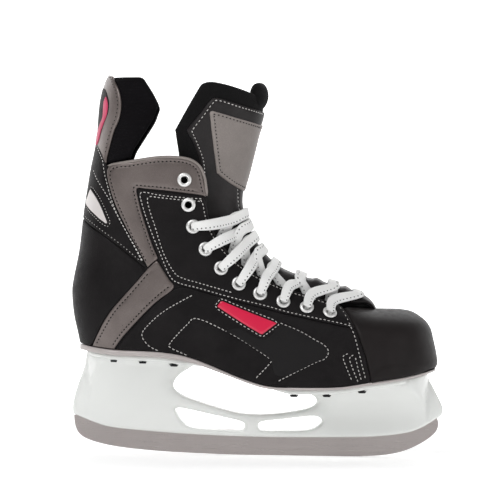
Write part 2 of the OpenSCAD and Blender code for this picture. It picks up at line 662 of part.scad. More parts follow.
// Tendon guard: the side surface carried up past the collar
guard_low = [[-133.5, 239], [-131, 239], [-125, 239], [-116, 238.5], [-103, 238.5]];
guard_high = [[-124, 302.5], [-121, 302.5], [-115, 302], [-107, 301], [-94, 300]];
guard_mid = [[-129.5, 272], [-127, 272], [-121, 272], [-104, 272], [-83, 272]];
shell_low = [[-133.5, 239.5], [-131, 239.5], [-124, 240], [-121.5, 241]];
shell_high = [[-123.5, 303], [-121, 303], [-118, 302], [-114.5, 297]];
shell_mid = [[-129.5, 272], [-127, 272], [-116, 272], [-112, 272]];
insert_low = [[-129.6, 249], [-127.6, 254], [-124.6, 264], [-121, 276]];
insert_high = [[-129.4, 252], [-127.8, 262], [-124.9, 275], [-122.4, 285]];
function stacked(a, b) = [for (i = [0 : len(a) - 1]) concat(a[i], [for (k = [1 : len(b[i]) - 1]) b[i][k]])];
module guard_pad() {
  grid = both_sides(stacked(columns(guard_low, guard_mid, 3, 3), columns(guard_mid, guard_high, 3, 3)));
  color([0.06, 0.05, 0.07])
    layer(grid, -1 - guard_pad_t, -1);
}
module guard_shell() {
  grid = both_sides(stacked(columns(shell_low, shell_mid, 3, 3), columns(shell_mid, shell_high, 3, 3)));
  color([0.62, 0.6, 0.57])
    layer(grid, -0.6, 1);
}
module guard_insert() {
  color([0.78, 0.2, 0.36]) {
    side_layer(outer, insert_low, insert_high, 2, 2, 1.3, 2);
    side_layer(inner, insert_low, insert_high, 2, 2, 1.3, 2);
  }
}

// Lace: where it passes the edge of the facing at each row, and where it crosses the middle of the tongue
first_row = 2;
last_row = 9;
edge_points = [[-37.5, 184], [-30, 171.5], [-19.5, 159.5], [-7.5, 150], [6, 142.2], [24, 134.8],
  [43, 129], [59.5, 123.8]];
crossing_z = [194, 185, 176, 167, 157, 147, 140];
bar_z = 132.8;
function edge_at(row) = edge_points[row - first_row];
function at_side(p, side, d) = skin_out(side * round_to(p.x, p.y), p.y, d);
function normal_at(p, side) = skin_normal(side * round_to(p.x, p.y), p.y);
// Each stop of the lace is [point, up direction, width, thickness]
hole_w = 3.8;
hole_t = 2;
function in_eyelet(row, side) = let(p = eyelets[row], n = normal_at(p, side)) [
  [at_side(p, side, 4.6), n, 6, lace_t],
  [at_side(p, side, 3), [1, 0, 1], hole_w, hole_t],
  [at_side(p, side, -5.4), [1, 0, 1], hole_w, hole_t],
  [at_side(p, side, -7.2) + [1.2, 0, 1.2], n, 6, lace_t]
];
function stop_on_tongue(z, a, lift) =
  [on_tongue(z, a, lift), unit(on_tongue(z, a, lift + 1) - on_tongue(z, a, lift)), lace_w, lace_t];
function over_tongue(row, side, lift) = concat(
  [[at_side(edge_at(row), side, -6.4), normal_at(edge_at(row), side), lace_w, lace_t]],
  [for (a = [-50, -25, 0, 25, 50])
    stop_on_tongue(crossing_z[row - first_row - 1] + a * 0.07, -side * a, lift)],
  [[at_side(edge_at(row - 1), -side, 4), normal_at(edge_at(row - 1), -side), lace_w, lace_t]]
);
function lace_half(start, lift) = concat(
  [for (a = [1, 25, 50]) stop_on_tongue(bar_z, start * a, 1.4)],
  [[at_side(edge_at(last_row), start, 4), normal_at(edge_at(last_row), start), lace_w, lace_t]],
  [for (row = [last_row : -1 : first_row])
    let(side = (last_row - row) % 2 == 0 ? start : -start)
    each concat(in_eyelet(row, side), row > first_row ? over_tongue(row, side, lift) : [])]
);
// A flat band through a list of stops
module band(stops) {
  n = len(stops);
  sections = [for (i = [0 : n - 1]) let(
    t = unit(stops[min(i + 1, n - 1)][0] - stops[max(i - 1, 0)][0]),
    s = unit(cross(t, stops[i][1])),
    u = cross(s, t), w = stops[i][2] / 2, h = stops[i][3] / 2, p = stops[i][0]
  ) [p - w * s - h * u, p + w * s - h * u, p + w * s + h * u, p - w * s + h * u]];
  polyhedron(
    [for (q = sections) each q],
    concat(
      quad(0, 1, 2, 3),
      quad(4 * n - 1, 4 * n - 2, 4 * n - 3, 4 * n - 4),
      [for (i = [0 : n - 2]) for (k = [0 : 3]) let(a = 4 * i + k, b = 4 * i + (k + 1) % 4)
        each quad(a, a + 4, b + 4, b)]
    )
  );
}
module lace(side, lift) {
  color([0.95, 0.95, 0.94])
    band(lace_half(side, lift));
}

// Loose ends of the lace inside the boot, as [x, y, z]: down from the eyelet to the footbed, forward on it,
// round the toes and back. The first part is listed for the inner side
tail_drop = [[-51, 24, 177], [-49, 22, 168], [-47, 20.5, 155], [-45, 20, 138], [-43, 19.5, 120],
  [-39, 19, 103],
  [-30, 18.5, 89], [-18, 18.5, 77], [-5, 19, 70]];
inner_turn = [[12, 20, 66.2], [34, 20, 65], [55, 20, 65.5], [72, 20, 67.1], [82, 17, 68.8], [89, 10, 69.9],
  [91, 1, 70.3], [89, -8, 69.9], [82, -15, 68.8], [72, -18, 67.1], [55, -18, 65.5], [36, -18, 65.2]];
outer_turn = [[12, -24.5, 66.2], [34, -28, 65], [52, -30, 65.4], [72, -29.5, 67.1], [88, -25.5, 69.8],
  [98, -14.5, 71.4], [101.5, 0.5, 71.9], [98, 15.5, 71.4], [88, 26, 69.8], [72, 30.5, 67.1],
  [54, 30, 65.5]];
tail_w = lace_w - 1;
function tail_route(side) =
  concat([for (p = tail_drop) [p.x, side * p.y, p.z]], side == inner ? inner_turn : outer_turn);
aglet_len = 22;
module lace_tail(side) {
  color([0.95, 0.95, 0.94])
    band([for (p = curve(tail_route(side), 2)) let(w = max(0, min(1, (p.z - 80) / 25)))
      [p, [0.02, side * w, 1 - 0.7 * w], tail_w, lace_t]]);
}
module aglet(side) {
  route = tail_route(side);
  end = route[len(route) - 1];
  color([0.85, 0.87, 0.88])
    translate([end.x - gap, end.y, end.z + 1])
      rotate([0, -90, 0])
        cylinder(h = aglet_len, r = 1.7);
}

runner();
holder();
runner_bolt(0);  // rear_bolt
runner_bolt(1);  // front_bolt
runner_nut(0);  // rear_nut
runner_nut(1);  // front_nut
rivets(heel_rivets);
rivets(toe_rivets);
outsole();
insole_board();
footbed();
toe_cap();
toe_cap_liner();
quarter(outer);  // quarter_outer
quarter(inner);  // quarter_inner
lining(outer);  // lining_outer
lining(inner);  // lining_inner
facing_lining(outer);  // facing_lining_outer
facing_lining(inner);  // facing_lining_inner
ankle_pad(outer);  // ankle_pad_outer
ankle_pad(inner);  // ankle_pad_inner
heel_counter();
back_stay();
ankle_strap(outer);  // ankle_strap_outer
ankle_strap(inner);  // ankle_strap_inner
collar_overlay(outer);  // collar_overlay_outer
collar_overlay(inner);  // collar_overlay_inner
facing(outer);  // facing_outer
facing(inner);  // facing_inner
side_panel(outer);  // side_panel_outer
side_panel(inner);  // side_panel_inner
label(outer);  // label_outer
label(inner);  // label_inner
teardrop(outer);  // teardrop_outer
teardrop(inner);  // teardrop_inner
eyelet_rings(outer);  // eyelets_outer
eyelet_rings(inner);  // eyelets_inner
eyelet_washers(outer);  // eyelet_washers_outer
eyelet_washers(inner);  // eyelet_washers_inner
lace(outer, 1.3);  // lace_outer
lace(inner, 3.1);  // lace_inner
lace_tail(outer);  // lace_tail_outer
lace_tail(inner);  // lace_tail_inner
aglet(outer);  // aglet_outer
aglet(inner);  // aglet_inner
tongue_felt();
tongue_facing();
tongue_top_felt();
tongue_top_facing();
tongue_top_patch();
tongue_lip();
guard_pad();
guard_shell();
guard_insert();
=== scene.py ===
"""The visual model of an ice hockey skate for the right foot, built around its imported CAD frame.

Places and sizes in the tables are millimetres in the CAD's own frame, and meshes are made in metres.
The boot's layers lie on one side surface: s is the distance round the boot from the middle of the heel,
negative on the outer side, z is the height, and d is how far a layer stands out from that surface.
"""
import math
import bpy
import numpy as np
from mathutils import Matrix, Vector
from mathutils.geometry import delaunay_2d_cdt


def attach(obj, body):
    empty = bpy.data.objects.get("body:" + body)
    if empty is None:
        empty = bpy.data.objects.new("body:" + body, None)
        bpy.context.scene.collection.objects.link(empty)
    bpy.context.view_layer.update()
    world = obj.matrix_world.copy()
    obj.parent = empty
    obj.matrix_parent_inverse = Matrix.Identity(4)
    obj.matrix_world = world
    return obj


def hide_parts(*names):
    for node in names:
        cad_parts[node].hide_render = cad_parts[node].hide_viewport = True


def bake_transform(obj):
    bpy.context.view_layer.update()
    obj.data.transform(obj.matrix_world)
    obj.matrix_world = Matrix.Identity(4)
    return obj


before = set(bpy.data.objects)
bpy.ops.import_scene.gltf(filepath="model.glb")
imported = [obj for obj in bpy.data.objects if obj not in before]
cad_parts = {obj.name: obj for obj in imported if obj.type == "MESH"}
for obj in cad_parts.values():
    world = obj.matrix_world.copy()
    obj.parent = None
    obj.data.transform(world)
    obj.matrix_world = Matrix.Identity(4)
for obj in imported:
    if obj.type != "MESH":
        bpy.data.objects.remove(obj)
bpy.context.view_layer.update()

MM = 0.001
SIDES = {"outer": -1, "inner": 1}
BOOT = "boot"
GUARD = "tendon_guard"
TONGUE = "tongue_top"


# ---------------------------------------------------------------- camera and light
VIEW_WIDTH = 0.4  # metres of the side plane that fill the picture's width
VIEW_DISTANCE = 2.6
VIEW_ROLL = -0.9  # degrees
SIDE_PLANE = -0.014
SENSOR = 0.036


def new_object(name, data):
    obj = bpy.data.objects.new(name, data)
    bpy.context.scene.collection.objects.link(obj)
    return obj


def make_camera():
    data = bpy.data.cameras.new("camera")
    data.sensor_width = SENSOR / MM
    data.lens = SENSOR / MM * VIEW_DISTANCE / VIEW_WIDTH
    camera = new_object("camera", data)
    camera.location = (-0.0068, SIDE_PLANE - VIEW_DISTANCE, 0.1646)
    camera.rotation_euler = (math.pi / 2, math.radians(VIEW_ROLL), 0)
    bpy.context.scene.camera = camera


def make_light(name, place, target, size, watts):
    data = bpy.data.lights.new(name, "AREA")
    data.shape = "RECTANGLE"
    data.size, data.size_y = size
    data.energy = watts
    lamp = new_object(name, data)
    lamp.location = place
    lamp.rotation_euler = (Vector(target) - lamp.location).to_track_quat("-Z", "Y").to_euler()


def make_studio():
    bpy.context.scene.view_settings.view_transform = "Standard"
    world = bpy.data.worlds.new("studio")
    world.use_nodes = True
    sky = world.node_tree.nodes["Background"].inputs
    sky["Color"].default_value = (1, 1, 1, 1)
    sky["Strength"].default_value = 0.18
    bpy.context.scene.world = world
    make_light("key", (-0.55, -1.0, 1.25), (0, 0, 0.1), (0.9, 0.7), 13)
    make_light("fill", (1.2, -0.8, 0.5), (0.05, 0, 0.1), (0.5, 0.9), 2.5)
    make_light("back", (0.1, 1.0, 1.0), (0, 0, 0.15), (1.2, 0.6), 5)


# ---------------------------------------------------------------- curves and the side surface
def curve(points, n=6):
    """A smooth curve through the points, with n steps from each to the next."""
    p = np.array(points, float)
    last = len(p) - 1
    t = (np.arange(n) / n)[:, None]
    rows = []
    for i in range(last):
        a, b, c, d = p[max(i - 1, 0)], p[i], p[i + 1], p[min(i + 2, last)]
        rows.append(0.5 * (2 * b + (c - a) * t + (2 * a - 5 * b + 4 * c - d) * t**2
                           + (3 * b - a - 3 * c + d) * t**3))
    return np.vstack(rows + [p[last:]])


def table(points, n=8):
    """The smooth curve as a function of its first number."""
    p = curve(points, n)
    return lambda t: np.interp(t, p[:, 0], p[:, 1])


sole_z = table([[-141, 87], [-115, 83.5], [-76, 82], [-50, 77], [-14, 63], [9, 56.5], [32, 56],
                [65, 57], [90, 61], [121, 66], [146, 72]])
back_line = table([[80, -139], [96, -142.5], [111, -146], [129, -147.8], [141, -146.5], [163, -142.5],
                   [193, -139.5], [211, -137], [228, -134.5], [250, -130.5], [279, -128.5],
                   [296, -125], [304, -121]])
front_line = table([[60, 139], [71, 141.5], [77, 144.5], [97, 140.5], [105, 137.8], [111, 132.5],
                    [116.6, 123], [118.2, 112]])
sole_hw = table([[-150, 29], [-110, 31], [-80, 31.5], [-40, 30], [0, 34], [40, 42], [70, 45.5], [95, 44.5]])
wide_hw = table([[-150, 35], [-115, 36], [-60, 38.5], [-30, 38.5], [0, 39.5], [40, 44], [70, 46.5],
                 [95, 45.5]])
edge_hw = table([[-150, 36], [-115, 37], [-60, 36], [-36, 32], [-15, 29.5], [0, 27.5], [30, 24.5],
                 [60, 21.5], [75, 17], [95, 10]])
wide_z = table([[-150, 125], [-60, 122], [-36, 110], [0, 92], [40, 82], [70, 78], [95, 78]])
edge_z = table([[-150, 240], [-70, 240], [-36, 190], [-15, 160], [0, 148], [15, 139], [32, 132],
                [54, 126], [66, 121.5], [95, 118.3]])
crown = table([[-150, 2], [0, 2], [40, 2.3], [75, 3.6], [95, 4]])
HEEL_R = 32
QUARTER_ARC = HEEL_R * math.pi / 2
TOE_LEAN = 6
TOE_X = 95


def lean(x):
    """How far the middle line of the foot turns to the inner side."""
    return np.where(x < 0, 0, TOE_LEAN * (x / 140) ** 2)


def side_hw(x, z):
    """Half width of the boot at a place seen from the side."""
    wide, low = wide_hw(x), wide_z(x)
    down = np.clip((low - z) / (low - sole_z(x)), 0, 1)
    up = np.clip((z - low) / (edge_z(x) - low), 0, 1)
    return np.where(z < low, wide - (wide - sole_hw(x)) * down**2, wide - (wide - edge_hw(x)) * up ** crown(x))


def skin(s, z):
    d = np.abs(s)
    a = np.minimum(d / HEEL_R, math.pi / 2)
    x = back_line(z) + np.where(d < QUARTER_ARC, HEEL_R * (1 - np.cos(a)), HEEL_R + d - QUARTER_ARC)
    return np.stack([x, np.sign(s) * side_hw(x, z) * np.sin(a) + lean(x), z], -1)


def unit(v):
    return v / np.maximum(np.linalg.norm(v, axis=-1, keepdims=True), 1e-9)


def run_of(line):
    """Distance along a line to each of its points."""
    return np.concatenate([[0], np.cumsum(np.linalg.norm(np.diff(line, axis=0), axis=1))])


def left_of(along):
    """Directions turned a quarter turn to the left."""
    return np.stack([-along[:, 1], along[:, 0]], -1)


def loop_along(loop):
    """The direction of a closed loop at each point."""
    return unit(np.roll(loop, -1, axis=0) - np.roll(loop, 1, axis=0))


def mirrored(half):
    """A closed plan from its half on the inner side."""
    return np.vstack([half, half[::-1] * [-1, 1]])


def turns(n):
    return np.arange(n) / n * 2 * math.pi


def rings(mid, side, up, wide, tall):
    """A ring of points round each middle point. wide and tall place them along side and up."""
    return mid[:, None] + wide[..., None] * side[:, None] + tall[..., None] * up[:, None]


def on_skin(s, z, d):
    e = 1.0
    n = unit(np.cross(skin(s, z + e) - skin(s, z - e), skin(s + e, z) - skin(s - e, z)))
    return skin(s, z) + np.asarray(d)[..., None] * n


def round_to(p):
    """[s, z] of places seen from the side, for the inner side."""
    p = np.array(p, float)
    r = np.maximum(0, p[:, 0] - back_line(p[:, 1]))
    near = HEEL_R * np.arccos(np.clip(1 - r / HEEL_R, -1, 1))
    return np.stack([np.where(r < HEEL_R, near, QUARTER_ARC + r - HEEL_R), p[:, 1]], -1)


def on_side(points, side, n=6):
    """A smooth line seen from the side, laid on one side of the boot."""
    return curve(round_to(points), n) * [SIDES[side], 1]


# ---------------------------------------------------------------- meshes
def make_mesh(name, points, faces, look, uv=None, replaces=(), bend=None, body=BOOT):
    """points in millimetres. uv gives two numbers for each point. bend is (body, start, end) of a blend, but only
    whether it is given is read: the mesh is then left off any body, with its place baked in.
    """
    points = np.asarray(points, float)
    faces = [list(map(int, f)) for f in faces]
    fans = np.array([(f[0], f[k], f[k + 1]) for f in faces for k in range(1, len(f) - 1)])
    a, b, c = (points[fans[:, k]] - points[0] for k in range(3))
    if (a * np.cross(b, c)).sum() < 0:
        faces = [f[::-1] for f in faces]
    data = bpy.data.meshes.new(name)
    data.from_pydata((points * MM).tolist(), [], faces)
    data.validate()
    data.shade_smooth()
    if uv is not None:
        layer = data.uv_layers.new(name="lay")
        corner = np.zeros(len(data.loops), int)
        data.loops.foreach_get("vertex_index", corner)
        layer.data.foreach_set("uv", (np.asarray(uv) * MM)[corner].astype(np.float32).ravel())
    material, slot = look
    data.materials.append(material)
    obj = new_object(name, data)
    if bend:
        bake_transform(obj)
    else:
        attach(obj, body)
    if replaces:
        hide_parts(*replaces)
    return obj


def resample(line, step, closed=False):
    p = np.vstack([line, line[:1]]) if closed else np.asarray(line)
    run = run_of(p)
    n = max(3, int(round(run[-1] / step)))
    t = np.linspace(0, run[-1], n + 1)
    out = np.stack([np.interp(t, run, p[:, k]) for k in range(p.shape[1])], -1)
    return out[:-1] if closed else out


BATCH = 2000  # points compared with a line at a time


def distance(points, line, closed=True):
    """Distance from each point to a polyline."""
    a = np.asarray(line)
    b = np.roll(a, -1, axis=0)
    if not closed:
        a, b = a[:-1], b[:-1]
    ab = b - a
    length = np.maximum((ab**2).sum(1), 1e-12)
    best = np.full(len(points), 1e9)
    for k in range(0, len(points), BATCH):
        q = points[k:k + BATCH, None]
        t = np.clip(((q - a) * ab).sum(-1) / length, 0, 1)
        best[k:k + BATCH] = np.linalg.norm(q - a - t[..., None] * ab, axis=-1).min(1)
    return best


def nearest(points, loops):
    return np.min([distance(points, loop) for loop in loops], axis=0)


def inside(points, loops):
    odd = np.zeros(len(points), bool)
    for loop in loops:
        a, b = loop, np.roll(loop, -1, axis=0)
        for k in range(0, len(points), BATCH):
            q = points[k:k + BATCH]
            cross = (a[:, 1] > q[:, 1:]) != (b[:, 1] > q[:, 1:])
            with np.errstate(divide="ignore", invalid="ignore"):
                x = a[:, 0] + (q[:, 1:] - a[:, 1]) / (b[:, 1] - a[:, 1]) * (b[:, 0] - a[:, 0])
            odd[k:k + BATCH] ^= (np.count_nonzero(cross & (q[:, :1] < x), axis=1) % 2).astype(bool)
    return odd


def shape_plan(outline, holes, edge, step, lines):
    """Points and triangles that fill an outline, close together at its edge and along the lines."""
    loops = [resample(loop, min(step, 1.6), True) for loop in (outline, *holes)]
    extra = []
    for loop in loops:
        across = left_of(loop_along(loop))
        extra += [(loop + way * reach * edge * across, reach * edge * 0.9) for reach in (0.15, 0.5, 1.0)
                  for way in (-1, 1)]
    low, high = loops[0].min(0), loops[0].max(0)
    xs, ys = (np.arange(low[k] - step / 2, high[k] + step, step) for k in (0, 1))
    grid = np.stack(np.meshgrid(xs, ys), -1)
    grid[1::2, :, 0] += step / 2
    extra.append((grid.reshape(-1, 2), edge * 1.2))
    for line, width in lines:
        p = resample(line, 1.5)
        across = left_of(unit(np.gradient(p, axis=0)))
        extra += [(p + k * width * across, 0.3) for k in (-1.6, -0.7, 0, 0.7, 1.6)]
    points = list(loops)
    for p, away in extra:
        p = p[inside(p, loops)]
        points.append(p[nearest(p, loops) >= away])
    verts = np.vstack(points)
    edges, base = [], 0
    for loop in loops:
        n = len(loop)
        edges += [(base + i, base + (i + 1) % n) for i in range(n)]
        base += n
    made = delaunay_2d_cdt([Vector(p) for p in verts.tolist()], edges, [], 0, 1e-3)
    flat = np.array([tuple(v) for v in made[0]])
    tris = np.array([f for f in made[2] if len(f) == 3])
    tris = tris[inside(flat[tris].mean(1), loops)]
    used, tris = np.unique(tris, return_inverse=True)
    return flat[used], tris.reshape(-1, 3), loops


def pad(name, place, outline, d_in, d_out, look, edge=0.9, step=3.0, holes=(), grooves=(), relief=None,
        replaces=(), bend=None, both=False):
    """A closed layer over a plan: place(u, v, d) gives its points, and its top edge is rounded off.

    grooves are (line, depth, width) pressed into the top, and relief(u, v, near) adds to its height.
    both rounds the low edge as well and gives the low face the same relief.
    """
    flat, tris, loops = shape_plan(np.asarray(outline), [np.asarray(h) for h in holes], edge, step,
                                   [(g[0], g[2]) for g in grooves])
    u, v = flat[:, 0], flat[:, 1]
    near = nearest(flat, loops)
    low, high = (d(u, v) if callable(d) else np.full(len(u), float(d)) for d in (d_in, d_out))
    drop = np.minimum(edge, (0.45 if both else 0.85) * (high - low))
    drop = drop * (1 - np.sqrt(1 - (1 - np.clip(near / edge, 0, 1)) ** 2))
    rise = relief(u, v, near) if relief else 0
    top = high - drop + rise
    if both:
        low = low + drop - rise
    for line, depth, width in grooves:
        top = top - depth * np.exp(-(distance(flat, line, False) / width) ** 2)
    n = len(flat)
    points = np.vstack([place(u, v, top), place(u, v, low)])
    sides = np.sort(np.vstack([tris[:, [0, 1]], tris[:, [1, 2]], tris[:, [2, 0]]]), axis=1)
    whole, count = np.unique(sides, axis=0, return_counts=True)
    rim = {tuple(e) for e in whole[count == 1]}
    faces = []
    for t in tris.tolist():
        faces += [t, [n + t[2], n + t[1], n + t[0]]]
        for a, b in ((t[0], t[1]), (t[1], t[2]), (t[2], t[0])):
            if (min(a, b), max(a, b)) in rim:
                faces.append([b, a, n + a, n + b])
    return make_mesh(name, points, faces, look, np.vstack([flat, flat]), replaces, bend)


def tube_faces(count, around):
    """Faces of a closed tube made of rings of points."""
    faces = [[r * around + k, r * around + (k + 1) % around, (r + 1) * around + (k + 1) % around,
              (r + 1) * around + k] for r in range(count - 1) for k in range(around)]
    return faces + [list(range(around))[::-1], [(count - 1) * around + k for k in range(around)]]


def stitch_rows(name, place, lines, d, look, pitch=3.2, dash=1.9, r=0.34, bend=None):
    """Rows of short threads that come up out of the surface and go back into it."""
    points, faces = [], []
    shape = np.array([0, 0.75, 1, 0.75, 0])
    around, count = 6, len(shape)
    wide = np.broadcast_to(r * np.cos(turns(around)), (count, around))
    tall = np.broadcast_to(0.8 * r * np.sin(turns(around)), (count, around))
    for line in lines:
        p = resample(line, 0.5)
        run = run_of(p)
        for start in np.arange(0.3, run[-1] - dash, pitch):
            t = start + np.linspace(0, dash, count)
            u, v = np.interp(t, run, p[:, 0]), np.interp(t, run, p[:, 1])
            height = d - 0.35 + (0.35 + 0.5 * r) * shape
            mid = place(u, v, height)
            up = unit(place(u, v, height + 1) - mid)
            side = unit(np.cross(np.gradient(mid, axis=0), up))
            base = len(points) * around * count
            points.append(rings(mid, side, up, wide, tall).reshape(-1, 3))
            faces += [[base + i for i in f] for f in tube_faces(count, around)]
    return make_mesh(name, np.vstack(points), faces, look, bend=bend)


# ---------------------------------------------------------------- materials
class Paint:
    """A material's nodes. A finished look is the pair (material, name of its slot)."""

    def __init__(self, name):
        self.name = name
        self.material = bpy.data.materials.new(name)
        self.material.use_nodes = True
        self.tree = self.material.node_tree
        self.where = self.add("ShaderNodeTexCoord").outputs["Object"]

    def feed(self, node, **inputs):
        """Links or values for a node's inputs, by name, or by number after an underscore."""
        for key, value in inputs.items():
            socket = node.inputs[int(key[1:])] if key[0] == "_" else node.inputs[key.replace("_", " ")]
            if isinstance(value, bpy.types.NodeSocket):
                self.tree.links.new(value, socket)
            else:
                socket.default_value = value
        return node

    def add(self, kind, settings=(), **inputs):
        node = self.tree.nodes.new(kind)
        for key, value in dict(settings).items():
            setattr(node, key, value)
        return self.feed(node, **inputs)

    def axes(self, place):
        return self.add("ShaderNodeSeparateXYZ", Vector=place).outputs

    def lay(self):
        """The two numbers that make_mesh keeps for each point, in metres."""
        return self.add("ShaderNodeUVMap", {"uv_map": "lay"}).outputs[0]

    def noise(self, scale, detail=3.0, roughness=0.6, where=None):
        return self.add("ShaderNodeTexNoise", Vector=where or self.where, Scale=scale, Detail=detail,
                        Roughness=roughness).outputs["Fac"]

    def maths(self, how, a, b=0.0):
        return self.add("ShaderNodeMath", {"operation": how}, _0=a, _1=b).outputs[0]

    def plus(self, a, b):
        return self.maths("ADD", a, b)

    def times(self, a, b):
        return self.maths("MULTIPLY", a, b)

    def wave(self, value, pitch):
        return self.maths("SINE", self.times(value, 2 * math.pi / pitch))

    def ranged(self, value, low, high, to_low=0, to_high=1):
        return self.add("ShaderNodeMapRange", Value=value, From_Min=low, From_Max=high, To_Min=to_low,
                        To_Max=to_high).outputs["Result"]

    def mixed(self, factor, a, b):
        a, b = (c if isinstance(c, bpy.types.NodeSocket) else (*c, 1) for c in (a, b))
        return self.add("ShaderNodeMix", {"data_type": "RGBA"}, _0=factor, _6=a, _7=b).outputs[2]

    def finish(self, height=None, strength=0.0, reach=0.0, **inputs):
        """The look, once the shader has its inputs and its bump."""
        if height:
            inputs["Normal"] = self.add("ShaderNodeBump", Height=height, Strength=strength,
                                        Distance=reach).outputs["Normal"]
        self.feed(self.tree.nodes["Principled BSDF"], **inputs)
        return self.material, self.name


def scaled(colour, by):
    return tuple(c * by for c in colour)


def leather(name, dark, light, rough=(0.4, 0.56), grain=1100, depth=0.35, worn=0.5, coat=0.0, level=0.09,
            metallic=0.0):
    p = Paint(name)
    cells = p.add("ShaderNodeTexVoronoi", {"feature": "SMOOTH_F1"}, Vector=p.where, Scale=grain,
                  Smoothness=0.6).outputs["Distance"]
    colour = p.mixed(p.ranged(p.noise(38, 4), 0.3, 0.7), dark, light)
    colour = p.mixed(p.ranged(cells, 0.1, 0.75, 0.25, 0), colour, scaled(dark, 0.5))
    edge = p.add("ShaderNodeNewGeometry").outputs["Pointiness"]
    colour = p.mixed(p.ranged(edge, 0.52, 0.62, 0, worn), colour, scaled(light, 2.2))
    height = p.plus(p.times(cells, -0.7), p.noise(grain * 2.2, 2))
    return p.finish(height, depth, 0.00035, Base_Color=colour,
                    Roughness=p.ranged(p.noise(160), 0.25, 0.75, *rough), Coat_Weight=coat, Coat_Roughness=0.3,
                    Specular_IOR_Level=level, Metallic=metallic)


def cloth(name, dark, light, thread=900, depth=0.5, sheen=0.25, rough=0.9, level=0.25):
    """A woven or knitted cloth: two sets of threads that cross, with loose fibres."""
    p = Paint(name)
    x, y, z = p.axes(p.where)
    weave = p.times(p.wave(p.plus(x, y), 1 / thread), p.wave(z, 1 / thread))
    height = p.plus(p.times(weave, 0.5), p.noise(thread * 2.5, 4, 0.7))
    broad = p.noise(45, 4)
    colour = p.mixed(p.ranged(height, -0.1, 1.1), dark, light)
    colour = p.mixed(p.ranged(broad, 0.35, 0.75, 0, 0.35), colour, scaled(dark, 0.6))
    return p.finish(height, depth, 0.0004, Base_Color=colour,
                    Roughness=p.ranged(broad, 0.2, 0.8, rough - 0.08, rough + 0.06), Sheen_Weight=sheen,
                    Sheen_Roughness=0.5, Specular_IOR_Level=level)


def felt(name, dark, light):
    """Pressed wool: tangled fibres and no weave."""
    p = Paint(name)
    tangle = p.add("ShaderNodeTexNoise", Vector=p.where, Scale=300.0).outputs["Color"]
    bent = p.add("ShaderNodeVectorMath", {"operation": "MULTIPLY_ADD"}, _0=tangle, _1=(0.004, 0.004, 0.004),
                 _2=p.where).outputs[0]
    fibre = p.noise(1500, 5, 0.75, bent)
    tuft = p.noise(260, 4)
    return p.finish(p.plus(fibre, tuft), 0.6, 0.0006, Base_Color=p.mixed(p.ranged(fibre, 0.3, 0.75), dark, light),
                    Roughness=p.ranged(tuft, 0.3, 0.7, 0.9, 1), Sheen_Weight=0.05, Sheen_Roughness=0.6,
                    Specular_IOR_Level=0.06)


def plastic(name, colour, rough, coat=0.3, depth=0.06, patch=0.04, level=0.5):
    """patch is how much the tone varies from place to place. The roughness varies with it."""
    p = Paint(name)
    vary = min(0.2, 2 * patch)
    return p.finish(p.noise(900), depth, 0.0003,
                    Base_Color=p.mixed(p.ranged(p.noise(24), 0.3, 0.7), colour, scaled(colour, 1 - patch)),
                    Roughness=p.ranged(p.noise(220), 0.3, 0.7, rough * (1 - 0.75 * vary), rough * (1 + vary)),
                    Coat_Weight=coat, Coat_Roughness=0.12, Specular_IOR_Level=level)


def metal(name, colour, rough, along=(30, 1200, 1200), depth=0.12, stain=0.15, metallic=1.0):
    """Metal with fine scratches that run along X where along is small in X."""
    p = Paint(name)
    drawn = p.add("ShaderNodeMapping", Vector=p.where, Scale=along).outputs[0]
    lines = p.noise(1, 5, 0.7, drawn)
    tone = p.mixed(p.ranged(lines, 0.3, 0.7), scaled(colour, 0.88), colour)
    tone = p.mixed(p.ranged(p.noise(22), 0.35, 0.75, 0, stain), tone, scaled(colour, 0.55))
    return p.finish(lines, depth, 0.0002, Base_Color=tone,
                    Roughness=p.ranged(lines, 0.25, 0.75, rough * 0.75, rough * 1.3), Metallic=metallic)


def lace_cloth(name, colour, half_width, tracer=0.0034):
    """Flat woven lace: a herringbone across it, selvedges, and a row of dark tracer threads near one edge."""
    p = Paint(name)
    run, across, _ = p.axes(p.lay())
    fold = p.maths("ABSOLUTE", across)
    height = p.plus(p.times(p.wave(p.plus(run, fold), 0.0011), 0.6), p.times(p.wave(across, 0.0009), 0.4))
    fibre = p.noise(2600)
    tone = p.mixed(p.ranged(height, -1, 1), scaled(colour, 0.86), colour)
    tone = p.mixed(p.ranged(fold, half_width * 0.84, half_width, 0, 0.25), tone, scaled(colour, 0.7))
    step = p.maths("SUBTRACT", p.maths("FRACT", p.maths("DIVIDE", run, tracer)), 0.5)
    long = p.times(step, tracer)
    wide = p.plus(across, half_width * 0.5)
    far = p.maths("SQRT", p.plus(p.times(long, long), p.times(wide, wide)))
    tone = p.mixed(p.ranged(far, 0.0004, 0.0007, 1, 0), tone, (0.03, 0.03, 0.035))
    return p.finish(p.plus(height, fibre), 0.55, 0.00025, Base_Color=tone,
                    Roughness=p.ranged(fibre, 0.3, 0.7, 0.6, 0.8), Sheen_Weight=0.15, Sheen_Roughness=0.4,
                    Specular_IOR_Level=0.35)


def woven_vinyl(name, dark, light, bars=1350):
    """Coated cloth with a fine basket weave that shows through."""
    p = Paint(name)
    check = p.add("ShaderNodeTexChecker", Vector=p.lay(), Scale=900.0).outputs["Fac"]
    bar_u, bar_v = (p.maths("ABSOLUTE", p.wave(axis, 1 / bars)) for axis in p.axes(p.lay())[:2])
    height = p.plus(p.times(check, bar_u), p.times(p.maths("SUBTRACT", 1.0, check), bar_v))
    return p.finish(height, 0.4, 0.0002, Base_Color=p.mixed(p.ranged(height, 0, 1), dark, light),
                    Roughness=p.ranged(p.noise(120), 0.3, 0.7, 0.38, 0.5), Specular_IOR_Level=0.12)


def in_slot(look, slot):
    return look[0], slot


